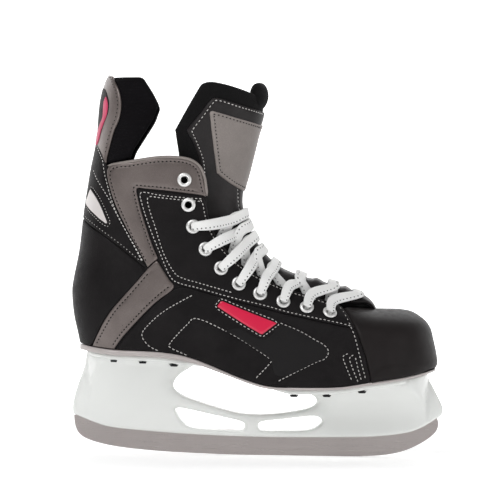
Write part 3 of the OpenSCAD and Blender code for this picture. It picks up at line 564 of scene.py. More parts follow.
BLACK = leather("black_leather", (0.008, 0.007, 0.0075), (0.014, 0.0125, 0.013))
GREY = leather("grey_leather", (0.13, 0.107, 0.1), (0.175, 0.147, 0.138), (0.27, 0.38), 1300, 0.22, 0.35, 0.15,
               0.45, 0.45)
PATCH = leather("tongue_patch_grey", (0.185, 0.162, 0.15), (0.235, 0.207, 0.194), (0.36, 0.5), 1300, 0.22, 0.3, 0,
                0.35)
BEAD = in_slot(PATCH, "grey_leather")
VINYL = leather("tongue_vinyl", (0.011, 0.0098, 0.01), (0.024, 0.021, 0.0215), (0.3, 0.46), 700, 0.25, 0.3, 0.04,
                0.16)
CARBON = in_slot(woven_vinyl("side_weave", (0.005, 0.0045, 0.005), (0.016, 0.015, 0.0155)), "black_leather")
CAP = plastic("toe_cap_black", (0.02, 0.0172, 0.0172), 0.42, 0.0, 0.05, 0.3, 0.08)
WHITE = plastic("holder_white", (0.8, 0.815, 0.795), 0.24, 0.35, 0.03, 0.02)
SOLE = plastic("outsole_edge", (0.5, 0.455, 0.445), 0.42, 0.1, 0.12, 0.12)
BOARD = cloth("board_fibre", (0.3, 0.22, 0.15), (0.46, 0.36, 0.26), 500, 0.3, 0.0)
STEEL = metal("runner_steel", (0.5, 0.455, 0.445), 0.3)
BOLT = metal("bolt_steel", (0.55, 0.55, 0.57), 0.3, (500, 500, 500))
# The rivet heads are near black: painted shade that stands in for the dark pockets round them in the holder, not the
# steel's own colour.
RIVET_PAINTED_SHADE = metal("rivet_steel", (0.03, 0.03, 0.032), 0.4, (500, 500, 500))
CHROME = metal("eyelet_metal", (0.86, 0.855, 0.845), 0.32, (300, 300, 300), 0.04, 0.05, 0.55)
CRIMSON = plastic("label_crimson", (0.66, 0.006, 0.055), 0.3, 0.5, 0.02, 0.02)
ROSE = in_slot(plastic("guard_rose", (0.58, 0.04, 0.12), 0.45, 0.1, 0.1, 0.2), "label_crimson")
SILVER = plastic("badge_silver", (0.62, 0.585, 0.575), 0.35, 0.3, 0.1, 0.1)
FELT = felt("tongue_felt_black", (0.002, 0.002, 0.0022), (0.0095, 0.009, 0.0095))
LINING = cloth("lining_felt", (0.03, 0.03, 0.034), (0.07, 0.07, 0.076), 700, 0.4, 0.2)
FOAM = cloth("footbed_foam", (0.04, 0.045, 0.05), (0.13, 0.135, 0.14), 600, 0.4, 0.15)
RIBBED = cloth("guard_fabric", (0.0015, 0.0012, 0.0016), (0.0065, 0.0055, 0.007), 1100, 0.45, 0.02, 0.9, 0.08)
LACE = lace_cloth("lace_white", (0.95, 0.95, 0.94), 0.0045)
AGLET = plastic("aglet_clear", (0.7, 0.73, 0.76), 0.2, 0.5)
THREAD = in_slot(cloth("thread_light", (0.6, 0.58, 0.56), (0.85, 0.83, 0.8), 2500, 0.5, 0.2, 0.7), "lace_white")
HOLES = in_slot(cloth("stitch_holes", (0.006, 0.005, 0.005), (0.014, 0.012, 0.012), 2500, 0.5, 0.0), "grey_leather")


# ---------------------------------------------------------------- cords: the loose ends of the lace
TAIL_WIDTH = 8
LACE_THICK = 1.4
TAIL_DROP = [(-51, 24, 177), (-49, 22, 168), (-47, 20.5, 155), (-45, 20, 138), (-43, 19.5, 120), (-39, 19, 103),
    (-30, 18.5, 89), (-18, 18.5, 77), (-5, 19, 70)]
TAIL_TURN = {
    "inner": [(12, 20, 66.2), (34, 20, 65), (55, 20, 65.5), (72, 20, 67.1), (82, 17, 68.8), (89, 10, 69.9),
              (91, 1, 70.3), (89, -8, 69.9), (82, -15, 68.8), (72, -18, 67.1), (55, -18, 65.5), (36, -18, 65.2)],
    "outer": [(12, -24.5, 66.2), (34, -28, 65), (52, -30, 65.4), (72, -29.5, 67.1), (88, -25.5, 69.8),
              (98, -14.5, 71.4), (101.5, 0.5, 71.9), (98, 15.5, 71.4), (88, 26, 69.8), (72, 30.5, 67.1),
              (54, 30, 65.5)],
}


def ribbon(name, mid, up, width, thick, replaces, around=12):
    """A flat length of lace along a line, with rounded edges. width and thick may change along it."""
    along = unit(np.gradient(mid, axis=0))
    side = unit(np.cross(along, up))
    up = np.cross(side, along)
    c, s = np.cos(turns(around)), np.sin(turns(around))
    wide = np.broadcast_to(width, len(mid))[:, None] / 2 * (np.sign(c) * np.abs(c) ** 0.6)
    tall = np.broadcast_to(thick, len(mid))[:, None] / 2 * (np.sign(s) * np.abs(s) ** 0.7)
    points = rings(mid, side, up, wide, tall).reshape(-1, 3)
    uv = np.stack([np.repeat(run_of(mid)[:, None], around, 1), wide], -1)
    return make_mesh(name, points, tube_faces(len(mid), around), LACE, uv.reshape(-1, 2), replaces)


def make_tail(side):
    way = SIDES[side]
    route = curve([(x, way * y, z) for x, y, z in TAIL_DROP] + TAIL_TURN[side], 6)
    lying = np.clip((105 - route[:, 2]) / 25, 0, 1)[:, None]
    up = unit((1 - lying) * [0.02, way, 0.3] + lying * [0.02, 0, 1])
    tail = ribbon(f"lace_tail_{side}_weave", route, up, TAIL_WIDTH, LACE_THICK, [f"lace_tail_{side}"])


# ---------------------------------------------------------------- edges of the boot's layers, [x, z] from the side
WALL_LOW = [(-141, 87.6), (-139, 87.1), (-131, 86), (-112, 83.9), (-92, 83), (-74, 82.3), (-60, 80), (-48, 76.8),
    (-36, 72.2), (-24, 67.4), (-12, 62.8), (0, 59), (13, 57), (28, 56.5), (44, 56.6), (63, 57.5), (78, 59.6),
    (90.5, 62), (89.5, 72), (86, 85), (80, 102), (73.5, 114)]
WALL_HIGH = [(-134, 236), (-131.5, 234.5), (-121, 230), (-103, 232.5), (-82, 236), (-60, 236), (-47.5, 229.5),
    (-43, 212), (-40.5, 194), (-36, 179.5), (-26.5, 166), (-15.5, 155), (-2.5, 146), (14, 138), (32, 131.5),
    (52, 125.6), (69, 119.8)]
LINING_HIGH = [(-135, 232), (-131.5, 230.5), (-120, 226), (-103, 230), (-88, 233), (-74, 233.5), (-69.5, 217),
    (-67, 198), (-62.5, 178), (-52.5, 158), (-38.5, 141.5), (-23, 129), (-5, 121.5), (16, 115), (37, 110.5),
    (56, 107), (72, 103.5)]
EYESTAY_REAR = [(-70, 234.5), (-67.5, 218), (-65.3, 198.8), (-60.8, 179), (-50.8, 159.6), (-37, 143.2), (-22, 130.5),
    (-4.5, 123), (16, 116.5), (37, 112), (56, 108.5), (70.5, 105.5)]
EYESTAY_FRONT = [(-58, 235.3), (-47.5, 228), (-43.2, 211.5), (-40.8, 194), (-36.4, 179.5), (-27, 166), (-16, 155),
    (-3, 146), (14, 137.7), (32, 131.2), (52, 125.3), (65, 120.4)]
COUNTER_LOW = [(-141, 88.2), (-139, 87.8), (-131.8, 86.7), (-124.8, 101), (-115.8, 116), (-101.8, 132),
    (-90.5, 145.5)]
COUNTER_HIGH = [(-141, 187.5), (-138.5, 185.5), (-130, 178.8), (-122, 173.5), (-113.5, 167), (-103.5, 159.3),
    (-92, 150)]
STAY_LOW = [(-141, 188.4), (-138.5, 186.4), (-130, 179.7), (-115, 169), (-103, 159.8), (-91, 150.2)]
STAY_HIGH = [(-131, 249.5), (-129.8, 248.6), (-126, 241), (-122.5, 232.5), (-120.6, 226), (-119.8, 212),
    (-108.5, 184), (-89, 150)]
STRAP_REAR = [(-130.6, 86.2), (-124, 101.4), (-115, 116.3), (-101, 132.6), (-88.6, 147.3), (-80.5, 155.3)]
STRAP_FRONT = [(-113.5, 84.2), (-106.5, 94.4), (-96.5, 105.8), (-81.3, 121.5), (-67, 133), (-70.2, 139.5)]
COLLAR_REAR = [(-87.8, 149.8), (-97, 166.4), (-107, 184.4), (-118.5, 212), (-119.7, 229), (-102, 232.3), (-82, 235.8),
    (-60, 235.8), (-48, 229.2), (-43.8, 213), (-42.4, 206.4)]
COLLAR_FRONT = [(-79.7, 156.8), (-83.8, 166), (-88.6, 179), (-96, 203), (-97.2, 212), (-91, 211.9), (-79, 211),
    (-66, 209.8), (-57, 208.8), (-50, 208), (-44.2, 206.9)]
FACING_REAR = [(-96, 210.8), (-94.2, 202.5), (-87, 179), (-79, 157.4), (-69, 140), (-58, 135), (-46, 131.8),
    (-30, 127.2), (-12, 122.6), (6, 118.3), (24, 113.9), (42, 110.2), (58, 107), (69, 104.8), (76.9, 103.6),
    (74.2, 109), (70.6, 115)]
FACING_FRONT = [(-45, 206.2), (-42.9, 201), (-41.4, 194), (-38.6, 184), (-34.6, 175.5), (-27.6, 165.8),
    (-19.6, 157.5), (-10.4, 150.2), (0, 144), (12, 138.3), (26, 132.8), (40, 128.8), (53, 125), (66.8, 120.2)]
PANEL_LOW = [(-111.5, 84.2), (-102, 83.6), (-90, 82.9), (-76, 82.3), (-64, 80.8), (-50, 77.6), (-36, 72.4),
    (-22, 66.7), (-8, 61.6), (8, 57.5), (26, 56.5), (46, 56.7), (64, 57.6), (78, 59.6), (89.6, 61.6), (87.6, 72),
    (84, 85), (79.6, 97)]
PANEL_HIGH = [(-105.2, 94), (-95.3, 105.2), (-80.4, 120.8), (-66, 132.3), (-57, 134), (-46, 131.2), (-30, 126.7),
    (-14, 122.5), (2, 118.7), (18, 114.7), (34, 111.3), (48, 108.4), (60, 106), (70, 104.1), (77.2, 102.8)]
LABEL_LOW = [(-32.4, 119.5), (-24, 114), (-15.4, 108.6), (-6, 103), (3.8, 97.4)]
LABEL_HIGH = [(-29, 124.2), (-14, 118), (1, 112.2), (15.8, 106.6)]
TEAR_LOW = [(-137.4, 200), (-131, 192), (-125, 186.5), (-120, 183)]
TEAR_HIGH = [(-133.2, 212), (-128.5, 205), (-124, 196.5), (-119, 184.5)]
ANKLE_LOW = [(-110, 158), (-102, 142), (-88, 134), (-74, 138), (-66, 150)]
ANKLE_HIGH = [(-111, 168), (-104, 190), (-90, 200), (-78, 195), (-70, 176)]
EYELETS = [(-59.8, 219.3), (-56.3, 199.5), (-52.3, 182.4), (-42.4, 164.7), (-29.8, 149.7), (-15.6, 137.5),
    (1.4, 129.8), (19.9, 123.6), (38.8, 119), (57, 115)]
OVERLAY_IN, OVERLAY_OUT = 0.25, 1.45
QUARTER_IN, QUARTER_OUT = -2.8, -0.15
LINING_OUT, LINING_IN = 3.2, 6.2
LEATHER_EDGE = 1.1
GROOVE_DEPTH, GROOVE_WIDTH = 0.35, 0.9
THREAD_SINK = 0.3
HOLE_R = 3.3
FOLD = (TONGUE, (0, 0, 0.205), (0, 0, 0.225))
LEAN_BACK = (GUARD, (0, 0, 0.234), (0, 0, 0.25))


def side_plan(low, high, side="inner"):
    return np.vstack([on_side(low, side, 4), on_side(high, side, 4)[::-1]])


def eyelet_loops(side, low=0, high=10):
    ring = HOLE_R * np.stack([np.cos(turns(16)), np.sin(turns(16))], -1)
    return [at * [SIDES[side], 1] + ring for at in round_to(EYELETS[low:high])]


def outset(loop, by):
    """A closed plan made larger by a distance on every side."""
    turned = np.sum(loop[:, 0] * np.roll(loop[:, 1], -1) - np.roll(loop[:, 0], -1) * loop[:, 1])
    grown = loop - math.copysign(by, turned) * left_of(loop_along(loop))
    return np.vstack([grown, grown[:1]])


def from_inside(u, v, d):
    return on_skin(u, v, -np.asarray(d))


def make_wall(side):
    holes = eyelet_loops(side)
    pad(f"quarter_{side}_leather", on_skin, side_plan(WALL_LOW, WALL_HIGH, side), QUARTER_IN, QUARTER_OUT, BLACK,
        0.9, 3.5, holes, replaces=[f"quarter_{side}"])
    raised = [(x, z + 0.5) for x, z in WALL_LOW]
    pad(f"lining_{side}_cloth", from_inside, side_plan(raised, LINING_HIGH, side), LINING_OUT, LINING_IN, LINING,
        2.2, 4, replaces=[f"lining_{side}"])
    pad(f"facing_lining_{side}_leather", from_inside, side_plan(EYESTAY_REAR, EYESTAY_FRONT, side), 3.1, 4, BLACK,
        0.5, 3, holes, replaces=[f"facing_lining_{side}"])


def make_ankle_pad(side):
    piece = pad(f"ankle_pad_{side}_foam", from_inside, side_plan(ANKLE_LOW, ANKLE_HIGH, side), LINING_IN + 0.3,
                LINING_IN + 3.5, LINING, 3, 2.5, replaces=[f"ankle_pad_{side}"])


SHAPE_REAR = [(-52, 128), (-73.5, 115.5), (-87, 103.5), (-91.5, 96), (-86.5, 88), (-78, 83.5)]
SHAPE_MIDDLE = [(-55.5, 80.5), (-68, 86), (-69, 90), (-56, 104.5), (-47, 109.5), (-18, 96.5), (10, 79), (11.5, 76.5),
    (-1, 62.5)]
SHAPE_NOSE = [(18, 107), (34, 100.5), (46, 94), (52, 91), (56, 87), (56, 82.5), (52, 78.5), (47.5, 77), (32, 69),
    (15, 60)]
SEAM_LINES = [[(72, 84), (68, 81), (70.8, 73), (76, 61)], [(76.4, 83), (73.2, 80), (76, 71.5), (80.4, 61)],
    [(77.5, 81), (80, 72), (83.2, 61.5)]]
TOE_STITCH = [[(65, 119.4), (69.6, 113), (74.8, 102.5), (78.5, 92), (81.8, 80), (85, 68), (86.4, 62)]]
FACING_STITCH = [(-46, 204.5), (-63.5, 205.5), (-79.5, 207), (-91, 209), (-94.5, 207.5), (-93, 200), (-85.5, 178.5),
    (-77, 158.5), (-69.5, 142.5), (-62.5, 137.5), (-46, 133.5), (-20.5, 126.5), (3.5, 121), (26, 115), (50, 110.2),
    (64, 107.4), (74.2, 105)]
FACING_INNER = [(-47, 202.5), (-63.5, 203.5), (-79.5, 205), (-87, 205.5), (-88.5, 201), (-83, 184), (-75.5, 161.5),
    (-67, 146.5), (-60, 141.5), (-44, 137), (-18.5, 130)]
EDGE_STITCH = [(-47, 203.8), (-45.2, 200), (-43.7, 193), (-41, 183.4), (-37, 175), (-30, 165), (-21.8, 156.4),
    (-12.4, 149), (-1.6, 142.4), (10.8, 136.6), (25, 131), (39.4, 127), (52.4, 123), (62, 119.4)]
STAY_STITCH = [[(-132, 226.5), (-120.5, 206), (-105, 177.5), (-91, 153)],
               [(-129.6, 246.5), (-124.8, 235), (-122.3, 222), (-112.3, 191), (-92.5, 154.5)]]
COUNTER_STITCH = [(-138, 189.5), (-130, 182.8), (-115, 171.8), (-103, 162.4), (-93, 154)]
STRAP_STITCH = [[(-127, 88.5), (-121, 100.5), (-112.5, 115), (-99, 130.5), (-86, 146)],
                [(-114.5, 87.5), (-108.5, 96.5), (-98.5, 108), (-83.3, 123.8), (-70.5, 134.5)]]
COLLAR_STITCH = [(-89, 154.5), (-98, 170), (-105.5, 185.5), (-116.2, 212), (-117.2, 226.5), (-102, 229.8),
    (-82, 233.2), (-61, 233.2), (-50.3, 227.5), (-46.3, 213), (-45.2, 209.6)]
COLLAR_INNER = [(-82.6, 159), (-86.2, 167), (-91, 179.8), (-98.3, 203), (-99.3, 213.6), (-91, 214), (-79, 213.2),
    (-66, 212), (-50, 210.4)]
COLLAR_BEAD = [(-120.7, 229.8), (-104, 233), (-82, 236.7), (-68, 237.2), (-56, 235.6), (-48, 230.3), (-44, 222),
    (-42.4, 212), (-41.6, 207)]
SHAPES = [SHAPE_REAR, SHAPE_MIDDLE, SHAPE_NOSE]
FACING_ROWS = [FACING_STITCH, FACING_INNER, EDGE_STITCH]
COLLAR_ROWS = [COLLAR_STITCH, COLLAR_INNER]
PUNCHED = {"pitch": 3.2, "dash": 1.6, "r": 0.46}
WEAVE_EDGE = [(-26, 99.5), (-18, 96.5), (-4, 88), (10, 79), (12.5, 74), (15, 66), (24, 66), (32, 69), (47.5, 77),
    (52, 78.5), (55.5, 82.5), (55.5, 87), (51.5, 91), (45.5, 94), (34, 100.3), (19, 105.5), (12, 99), (6, 94),
    (-2, 95.5), (-15, 102.5)]


def make_overlays(side):
    def lay(node, low, high, look, grooves, holes=()):
        pad(f"{node}_{side}_leather", on_skin, side_plan(low, high, side), OVERLAY_IN, OVERLAY_OUT, look,
            LEATHER_EDGE, holes=holes, grooves=grooves, replaces=[f"{node}_{side}"])

    def press(lines, depth=GROOVE_DEPTH, width=GROOVE_WIDTH):
        return [(on_side(line, side), depth, width) for line in lines]

    lay("ankle_strap", STRAP_REAR, STRAP_FRONT, GREY, press(STRAP_STITCH))
    lay("collar_overlay", COLLAR_REAR, COLLAR_FRONT, GREY, press(COLLAR_ROWS), eyelet_loops(side, 0, 1))
    lay("facing", FACING_REAR, FACING_FRONT, BLACK, press(FACING_ROWS), eyelet_loops(side, 1))
    lay("side_panel", PANEL_LOW, PANEL_HIGH, BLACK, press(SHAPES, 0.7, 1.1) + press(TOE_STITCH + SEAM_LINES))


def make_weave(side):
    """The woven inset of the side panel, between its stitched shapes."""
    pad(f"side_weave_{side}", on_skin, on_side(WEAVE_EDGE + WEAVE_EDGE[:1], side, 4)[:-1], 0.9, 1.55, CARBON, 0.5)


def make_heel():
    stays = [(on_side(line, side), GROOVE_DEPTH, GROOVE_WIDTH) for line in STAY_STITCH for side in ("inner", "outer")]
    pad("heel_counter_leather", on_skin, mirrored(side_plan(COUNTER_LOW, COUNTER_HIGH)), OVERLAY_IN, OVERLAY_OUT,
        BLACK, LEATHER_EDGE, 3.2, replaces=["heel_counter"])
    pad("back_stay_leather", on_skin, mirrored(side_plan(STAY_LOW, STAY_HIGH)), OVERLAY_IN, OVERLAY_OUT, BLACK,
        LEATHER_EDGE, grooves=stays, replaces=["back_stay"], bend=LEAN_BACK)


def make_stitches(side):
    def rows(name, lines, look=THREAD, d=OVERLAY_OUT - THREAD_SINK, **more):
        stitch_rows(f"{name}_{side}", on_skin, [on_side(line, side) for line in lines], d, look, **more)

    rows("facing_thread", FACING_ROWS)
    rows("panel_thread", SHAPES, d=OVERLAY_OUT - 0.4)
    rows("toe_thread", TOE_STITCH + SEAM_LINES)
    rows("stay_thread", STAY_STITCH + [COUNTER_STITCH], bend=LEAN_BACK)
    rows("strap_thread", STRAP_STITCH, HOLES, **PUNCHED)
    rows("collar_thread", COLLAR_ROWS, HOLES, **PUNCHED)


def tube_along(name, place, line, d, r, look, around=10):
    """A solid round cord that follows a line on a surface and tapers off at its ends."""
    p = resample(line, 2)
    mid = place(p[:, 0], p[:, 1], np.full(len(p), float(d)))
    up = unit(place(p[:, 0], p[:, 1], np.full(len(p), d + 1.0)) - mid)
    side = unit(np.cross(np.gradient(mid, axis=0), up))
    ends = np.minimum(np.arange(len(p)), np.arange(len(p))[::-1])
    size = r * np.minimum(1, 0.35 + 0.4 * ends)[:, None]
    ring = rings(mid, side, up, size * np.cos(turns(around)), size * np.sin(turns(around)))
    make_mesh(name, ring.reshape(-1, 3), tube_faces(len(p), around), look)


def make_collar_bead(side):
    tube_along(f"collar_bead_{side}", on_skin, on_side(COLLAR_BEAD, side), 0.2, 1.25, BEAD)


def make_badges(side):
    """The crimson label and the silver teardrop, both plain."""
    plate = side_plan(LABEL_LOW, LABEL_HIGH, side)
    seam = outset(plate, 1.5)
    pad(f"label_{side}_frame", on_skin, outset(plate, 3.2)[:-1], OVERLAY_OUT - 0.1, 2.1, BLACK, 0.6, 1.6,
        grooves=[(seam, 0.3, 0.8)])
    stitch_rows(f"label_{side}_thread", on_skin, [seam], 1.85, THREAD)
    pad(f"label_{side}_plate", on_skin, plate, OVERLAY_OUT, 2.75, CRIMSON, 1.2, 1.3, replaces=[f"label_{side}"])
    tear = side_plan(TEAR_LOW, TEAR_HIGH, side)
    pad(f"teardrop_{side}_plate", on_skin, tear, OVERLAY_OUT - 0.1, 2.35, SILVER, 1.2, 1.5,
        replaces=[f"teardrop_{side}"])
    stitch_rows(f"teardrop_{side}_thread", on_skin, [outset(tear, 1.7)], OVERLAY_OUT - 0.1, THREAD, 2.6, 1.6, 0.26)
    tube_along(f"teardrop_{side}_border", on_skin, np.vstack([tear, tear[:1]]), OVERLAY_OUT, 0.9, BLACK)


# ---------------------------------------------------------------- toe cap
seam_x = table([[58, 90.6], [63, 90], [72, 88.2], [85, 84.6], [102, 78], [114, 71.4], [122, 67]])
cap_arc = table([[88, 58], [91, 65], [95, 70.2], [100, 73], [105, 74.5], [112, 75], [118, 74.2], [131, 71.5],
                 [138, 69.4], [142, 66]])


def toe_skin(a, z):
    """The surface round the toes: a is the angle from the toe's tip, and past 90 it runs back along the side."""
    back = np.maximum(0, np.abs(a) - 90) / 30 * (TOE_X - seam_x(z) - 0.3)
    ahead = TOE_X + (front_line(z) - TOE_X) * np.cos(np.radians(a))
    x = np.where(np.abs(a) > 90, TOE_X - back, ahead)
    y = np.sin(np.radians(np.clip(a, -90, 90))) * side_hw(np.minimum(x, TOE_X), z) + lean(x)
    return np.stack([x, y, z], -1)


def toe_out(a, z, d):
    normal = unit(np.cross(toe_skin(a + 1, z) - toe_skin(a - 1, z), toe_skin(a, z + 0.4) - toe_skin(a, z - 0.4)))
    return toe_skin(a, z) + np.asarray(d)[..., None] * normal


def toe_grid(angles, d_at, rows=52):
    """Points round the toe, column by column. The last rows close over the toes to the middle line."""
    f = np.linspace(0, 1, rows) ** 0.8
    a = angles[:, None] + 0 * f
    x = toe_skin(angles, np.full(len(angles), 80.0))[:, 0]
    low = sole_z(x) + 0.3
    top = np.where(np.abs(angles) > 90, edge_z(x) - 0.2, 118.0)
    z = low[:, None] + (top - low)[:, None] * f
    d = d_at(a, z)
    side = toe_out(a, z, d)
    last = side[:, -1]
    crest = np.stack([last[:, 0], lean(last[:, 0]), top + d[:, -1] + 0.1], -1)
    rise = [last + (crest - last) * [t, t, math.sin(t * math.pi / 2)] for t in (0.33, 0.66, 1)]
    return np.concatenate([side, np.stack(rise, 1)], 1)


def toe_shell(name, angles, d_out, d_in, look, node):
    outer, inner = toe_grid(angles, d_out), toe_grid(angles, d_in)
    n, m = outer.shape[:2]
    points = np.vstack([outer.reshape(-1, 3), inner.reshape(-1, 3)])
    at = np.arange(n * m).reshape(n, m)
    at[:, -1] = np.minimum(at[:, -1], at[::-1, -1])
    low = at + n * m
    faces = []
    for i in range(n - 1):
        for k in range(m - 1):
            faces += [[at[i, k], at[i + 1, k], at[i + 1, k + 1], at[i, k + 1]],
                      [low[i, k], low[i, k + 1], low[i + 1, k + 1], low[i + 1, k]]]
        faces.append([at[i, 0], low[i, 0], low[i + 1, 0], at[i + 1, 0]])
    for i, flip in ((0, 1), (n - 1, -1)):
        for k in range(m - 1):
            faces.append([at[i, k], at[i, k + 1], low[i, k + 1], low[i, k]][::flip])
    faces = [list(dict.fromkeys(f)) for f in faces]
    make_mesh(name, points, [f for f in faces if len(f) > 2], look, replaces=[node])


def make_toe():
    fine = np.concatenate([np.linspace(-120, -90, 11), np.linspace(-87, 87, 59), np.linspace(90, 120, 11)])

    def cap_out(a, z):
        rear = np.clip((120 - np.abs(a)) / 4, 0, 1)
        bumper = np.clip((cap_arc(toe_skin(a, z)[..., 0]) - z) / 0.9 + 0.5, 0, 1)
        return 0.35 + 0.85 * np.sqrt(1 - (1 - rear) ** 2) + 0.8 * bumper * np.clip((118 - np.abs(a)) / 12, 0, 1)

    toe_shell("toe_cap_shell", fine, cap_out, lambda a, z: np.full_like(z, -1.0), CAP, "toe_cap")
    toe_shell("toe_cap_liner_cloth", fine[4:-4], lambda a, z: np.full_like(z, -1.4),
              lambda a, z: np.full_like(z, -3.6), LINING, "toe_cap_liner")


# ---------------------------------------------------------------- holder and soles
RUNNER_EDGE = [(-146, 31), (-131, 25), (-116, 20.8), (-85, 18), (-44, 15.7), (-3, 14.8), (32, 14.8), (75, 15.6),
    (100, 16.8), (122, 20), (134, 24.6), (145, 31.6)]
HOLDER_HEEL = [(-136, 82), (-138.6, 68), (-143, 55), (-146, 44), (-147, 36), (-146.4, 31)]
HOLDER_TOE = [(145, 31.6), (149, 35), (149.6, 41), (144.5, 52), (139, 62), (137.4, 67.6)]
MAIN_WINDOW = [(-44, 78), (-52, 70.5), (-61, 64.5), (-65.6, 59), (-66.6, 54.5), (-64, 50.5), (-55, 45.6), (-34, 38.8),
    (-14, 33.8), (3, 32.7), (21, 34.2), (39, 37.4), (47, 41), (48.6, 45), (45, 49), (36, 52.6), (16, 53.6), (14, 60)]
REAR_WINDOW = [(-65, 35.6), (-60, 37.2), (-36, 32.4), (-12, 27.2), (-8.8, 23.4), (-12, 20), (-30, 20.2), (-49, 21.4),
    (-58, 25.4)]
FRONT_WINDOW = [(2, 22.6), (4, 27), (24, 29.8), (43, 32.2), (50.5, 31.6), (53, 27.8), (48, 23), (40, 20.6), (20, 20),
    (5, 20)]
RAIL_HW = 6.4
heel_post = table([[13, RAIL_HW], [34, RAIL_HW + 0.8], [48, 10], [60, 14], [70, 19], [78, 24.5], [90, 25]], 4)
toe_post = table([[13, RAIL_HW], [28, RAIL_HW + 0.8], [38, 11], [46, 17], [52, 24], [58, 30], [72, 32]], 4)
FLANGE_T = 3.6
HEEL_X = -111


def plan_hw(x, grow):
    """Half width of the sole outline seen from above."""
    heel = np.clip((HEEL_X - x) / (30 + grow), 0, 1)
    toe = np.clip((x - TOE_X) / (48 + grow), 0, 1)
    base = np.where(x < HEEL_X, side_hw(x, np.full_like(x, 86.0)), sole_hw(np.minimum(x, TOE_X))) + grow
    return base * np.sqrt(1 - heel**2) * np.sqrt(1 - toe**2)


def sole_thick(x):
    return np.interp(x, [-60, -20], [4, 1.8])


def holder_top(x):
    return sole_z(x) - sole_thick(x) - 0.1


def plan_loop(x0, x1, grow, most=99.0):
    """The sole outline from x0 to x1, no wider than most on each side."""
    t = 0.5 - 0.5 * np.cos(np.linspace(0, math.pi, 90))
    x = x0 + (x1 - x0) * t
    y = np.minimum(plan_hw(x, grow), most)
    return np.vstack([np.stack([x, lean(x) - y], -1), np.stack([x, lean(x) + y], -1)[::-1]])


def holder_hw(x, z):
    toe = np.clip((x + 7) / 26, 0, 1)
    post = heel_post(z) * (1 - toe) + toe_post(z) * toe
    middle = np.clip((x + 32) / 12, 0, 1) * np.clip((16 - x) / 10, 0, 1)
    post = post * (1 - middle) + RAIL_HW * middle
    return np.maximum(RAIL_HW, np.minimum(post, plan_hw(x, -5.0)))


def make_holder():
    base, toe, heel = curve(RUNNER_EDGE, 4), curve(HOLDER_TOE, 5), curve(HOLDER_HEEL, 5)
    roof = np.arange(134, -134, -4.0)
    roof = np.stack([roof, holder_top(roof)], -1)
    window = curve(MAIN_WINDOW, 5)
    before, after = roof[roof[:, 0] > window[-1, 0]], roof[roof[:, 0] < window[0, 0]]
    outline = np.vstack([base, toe[1:], before, window[::-1], after, heel])
    holes = [curve(w + w[:1], 5)[:-1] for w in (REAR_WINDOW, FRONT_WINDOW)]

    def waist(x, z, near):
        reach = np.clip(1 - distance(np.stack([x, z], -1), window, False) / 13, 0, 1)
        return -0.8 * reach**1.5 * np.clip(holder_hw(x, z) - 6.2, 0, 30)

    pad("holder_body", lambda x, z, d: np.stack([x, d, z], -1), outline, lambda x, z: -holder_hw(x, z), holder_hw,
        WHITE, 2.6, 2.4, holes, both=True, relief=waist, replaces=["holder"])
    for end, x0, x1, most in (("heel", -134, -44, 27.0), ("toe", 14, 135, 38.0)):
        pad(f"holder_flange_{end}", lambda x, y, d: np.stack([x, y, holder_top(x) - d], -1),
            plan_loop(x0, x1, -3.0, most), 0,
            lambda x, y: np.interp(x, [-58, -44, 14, 27], [FLANGE_T, 0.3, 0.3, FLANGE_T]), WHITE, 1.8, 4)


def make_soles():
    pad("outsole_sheet", lambda x, y, d: np.stack([x, y, sole_z(x) - d], -1), plan_loop(-142.2, 144.2, 1.2), 0,
        lambda x, y: sole_thick(x), SOLE, 0.8, 5, replaces=["outsole"])
    pad("footbed_foam", lambda x, y, d: np.stack([x, y, sole_z(x) + 3.4 + d], -1), plan_loop(-133.5, 135.5, -7.5), 0,
        4.5, FOAM, 2.5, 5, replaces=["footbed"],
        relief=lambda x, y, near: 1.6 * np.exp(-(near / 9) ** 2) * np.clip(near / 3, 0, 1))


# ---------------------------------------------------------------- eyelets and laces
def lathe(name, places, profile, node, around=24):
    """The same turned ring at each place, as (centre, axis). The profile is a closed line of (radius, height)."""
    turn = turns(around)[:, None, None]
    profile = np.asarray(profile, float)
    m = len(profile)
    points, faces = [], []
    for centre, axis in places:
        side = unit(np.cross(axis, [0.3, 0.9, 0.2]))
        over = np.cross(axis, side)
        base = len(points) * around * m
        ring = (profile[None, :, :1] * (np.cos(turn) * side + np.sin(turn) * over) + profile[None, :, 1:] * axis
                + centre)
        points.append(ring.reshape(-1, 3))
        faces += [[base + i * m + k, base + i * m + (k + 1) % m, base + (i + 1) % around * m + (k + 1) % m,
                   base + (i + 1) % around * m + k] for i in range(around) for k in range(m)]
    make_mesh(name, np.vstack(points), faces, CHROME, replaces=[node])


def on_boot(p, side, d):
    s, z = round_to([p])[0]
    return on_skin(np.array([SIDES[side] * s]), np.array([float(z)]), np.array([float(d)]))[0]


def out_from(p, side):
    """The way straight out of the boot at a place seen from the side."""
    return on_boot(p, side, 1) - on_boot(p, side, 0)


EYELET_PROFILE = [(2.8, -5.3), (2.8, 1.4), (2.95, 2.3), (3.4, 2.85), (4.1, 3.05), (4.9, 2.9), (5.45, 2.45),
    (5.7, 1.95), (5.5, 1.65), (5, 1.6), (3.3, 1.6), (3.3, -5.3)]
WASHER_PROFILE = [(3.35, -5.1), (5.1, -5.1), (5.3, -4.95), (5.3, -4.75), (5.1, -4.6), (3.35, -4.6)]


def make_eyelets(side):
    places = [(on_boot(p, side, 0), out_from(p, side)) for p in EYELETS]
    lathe(f"eyelet_rims_{side}", places, EYELET_PROFILE, f"eyelets_{side}")
    lathe(f"eyelet_backs_{side}", places, WASHER_PROFILE, f"eyelet_washers_{side}")


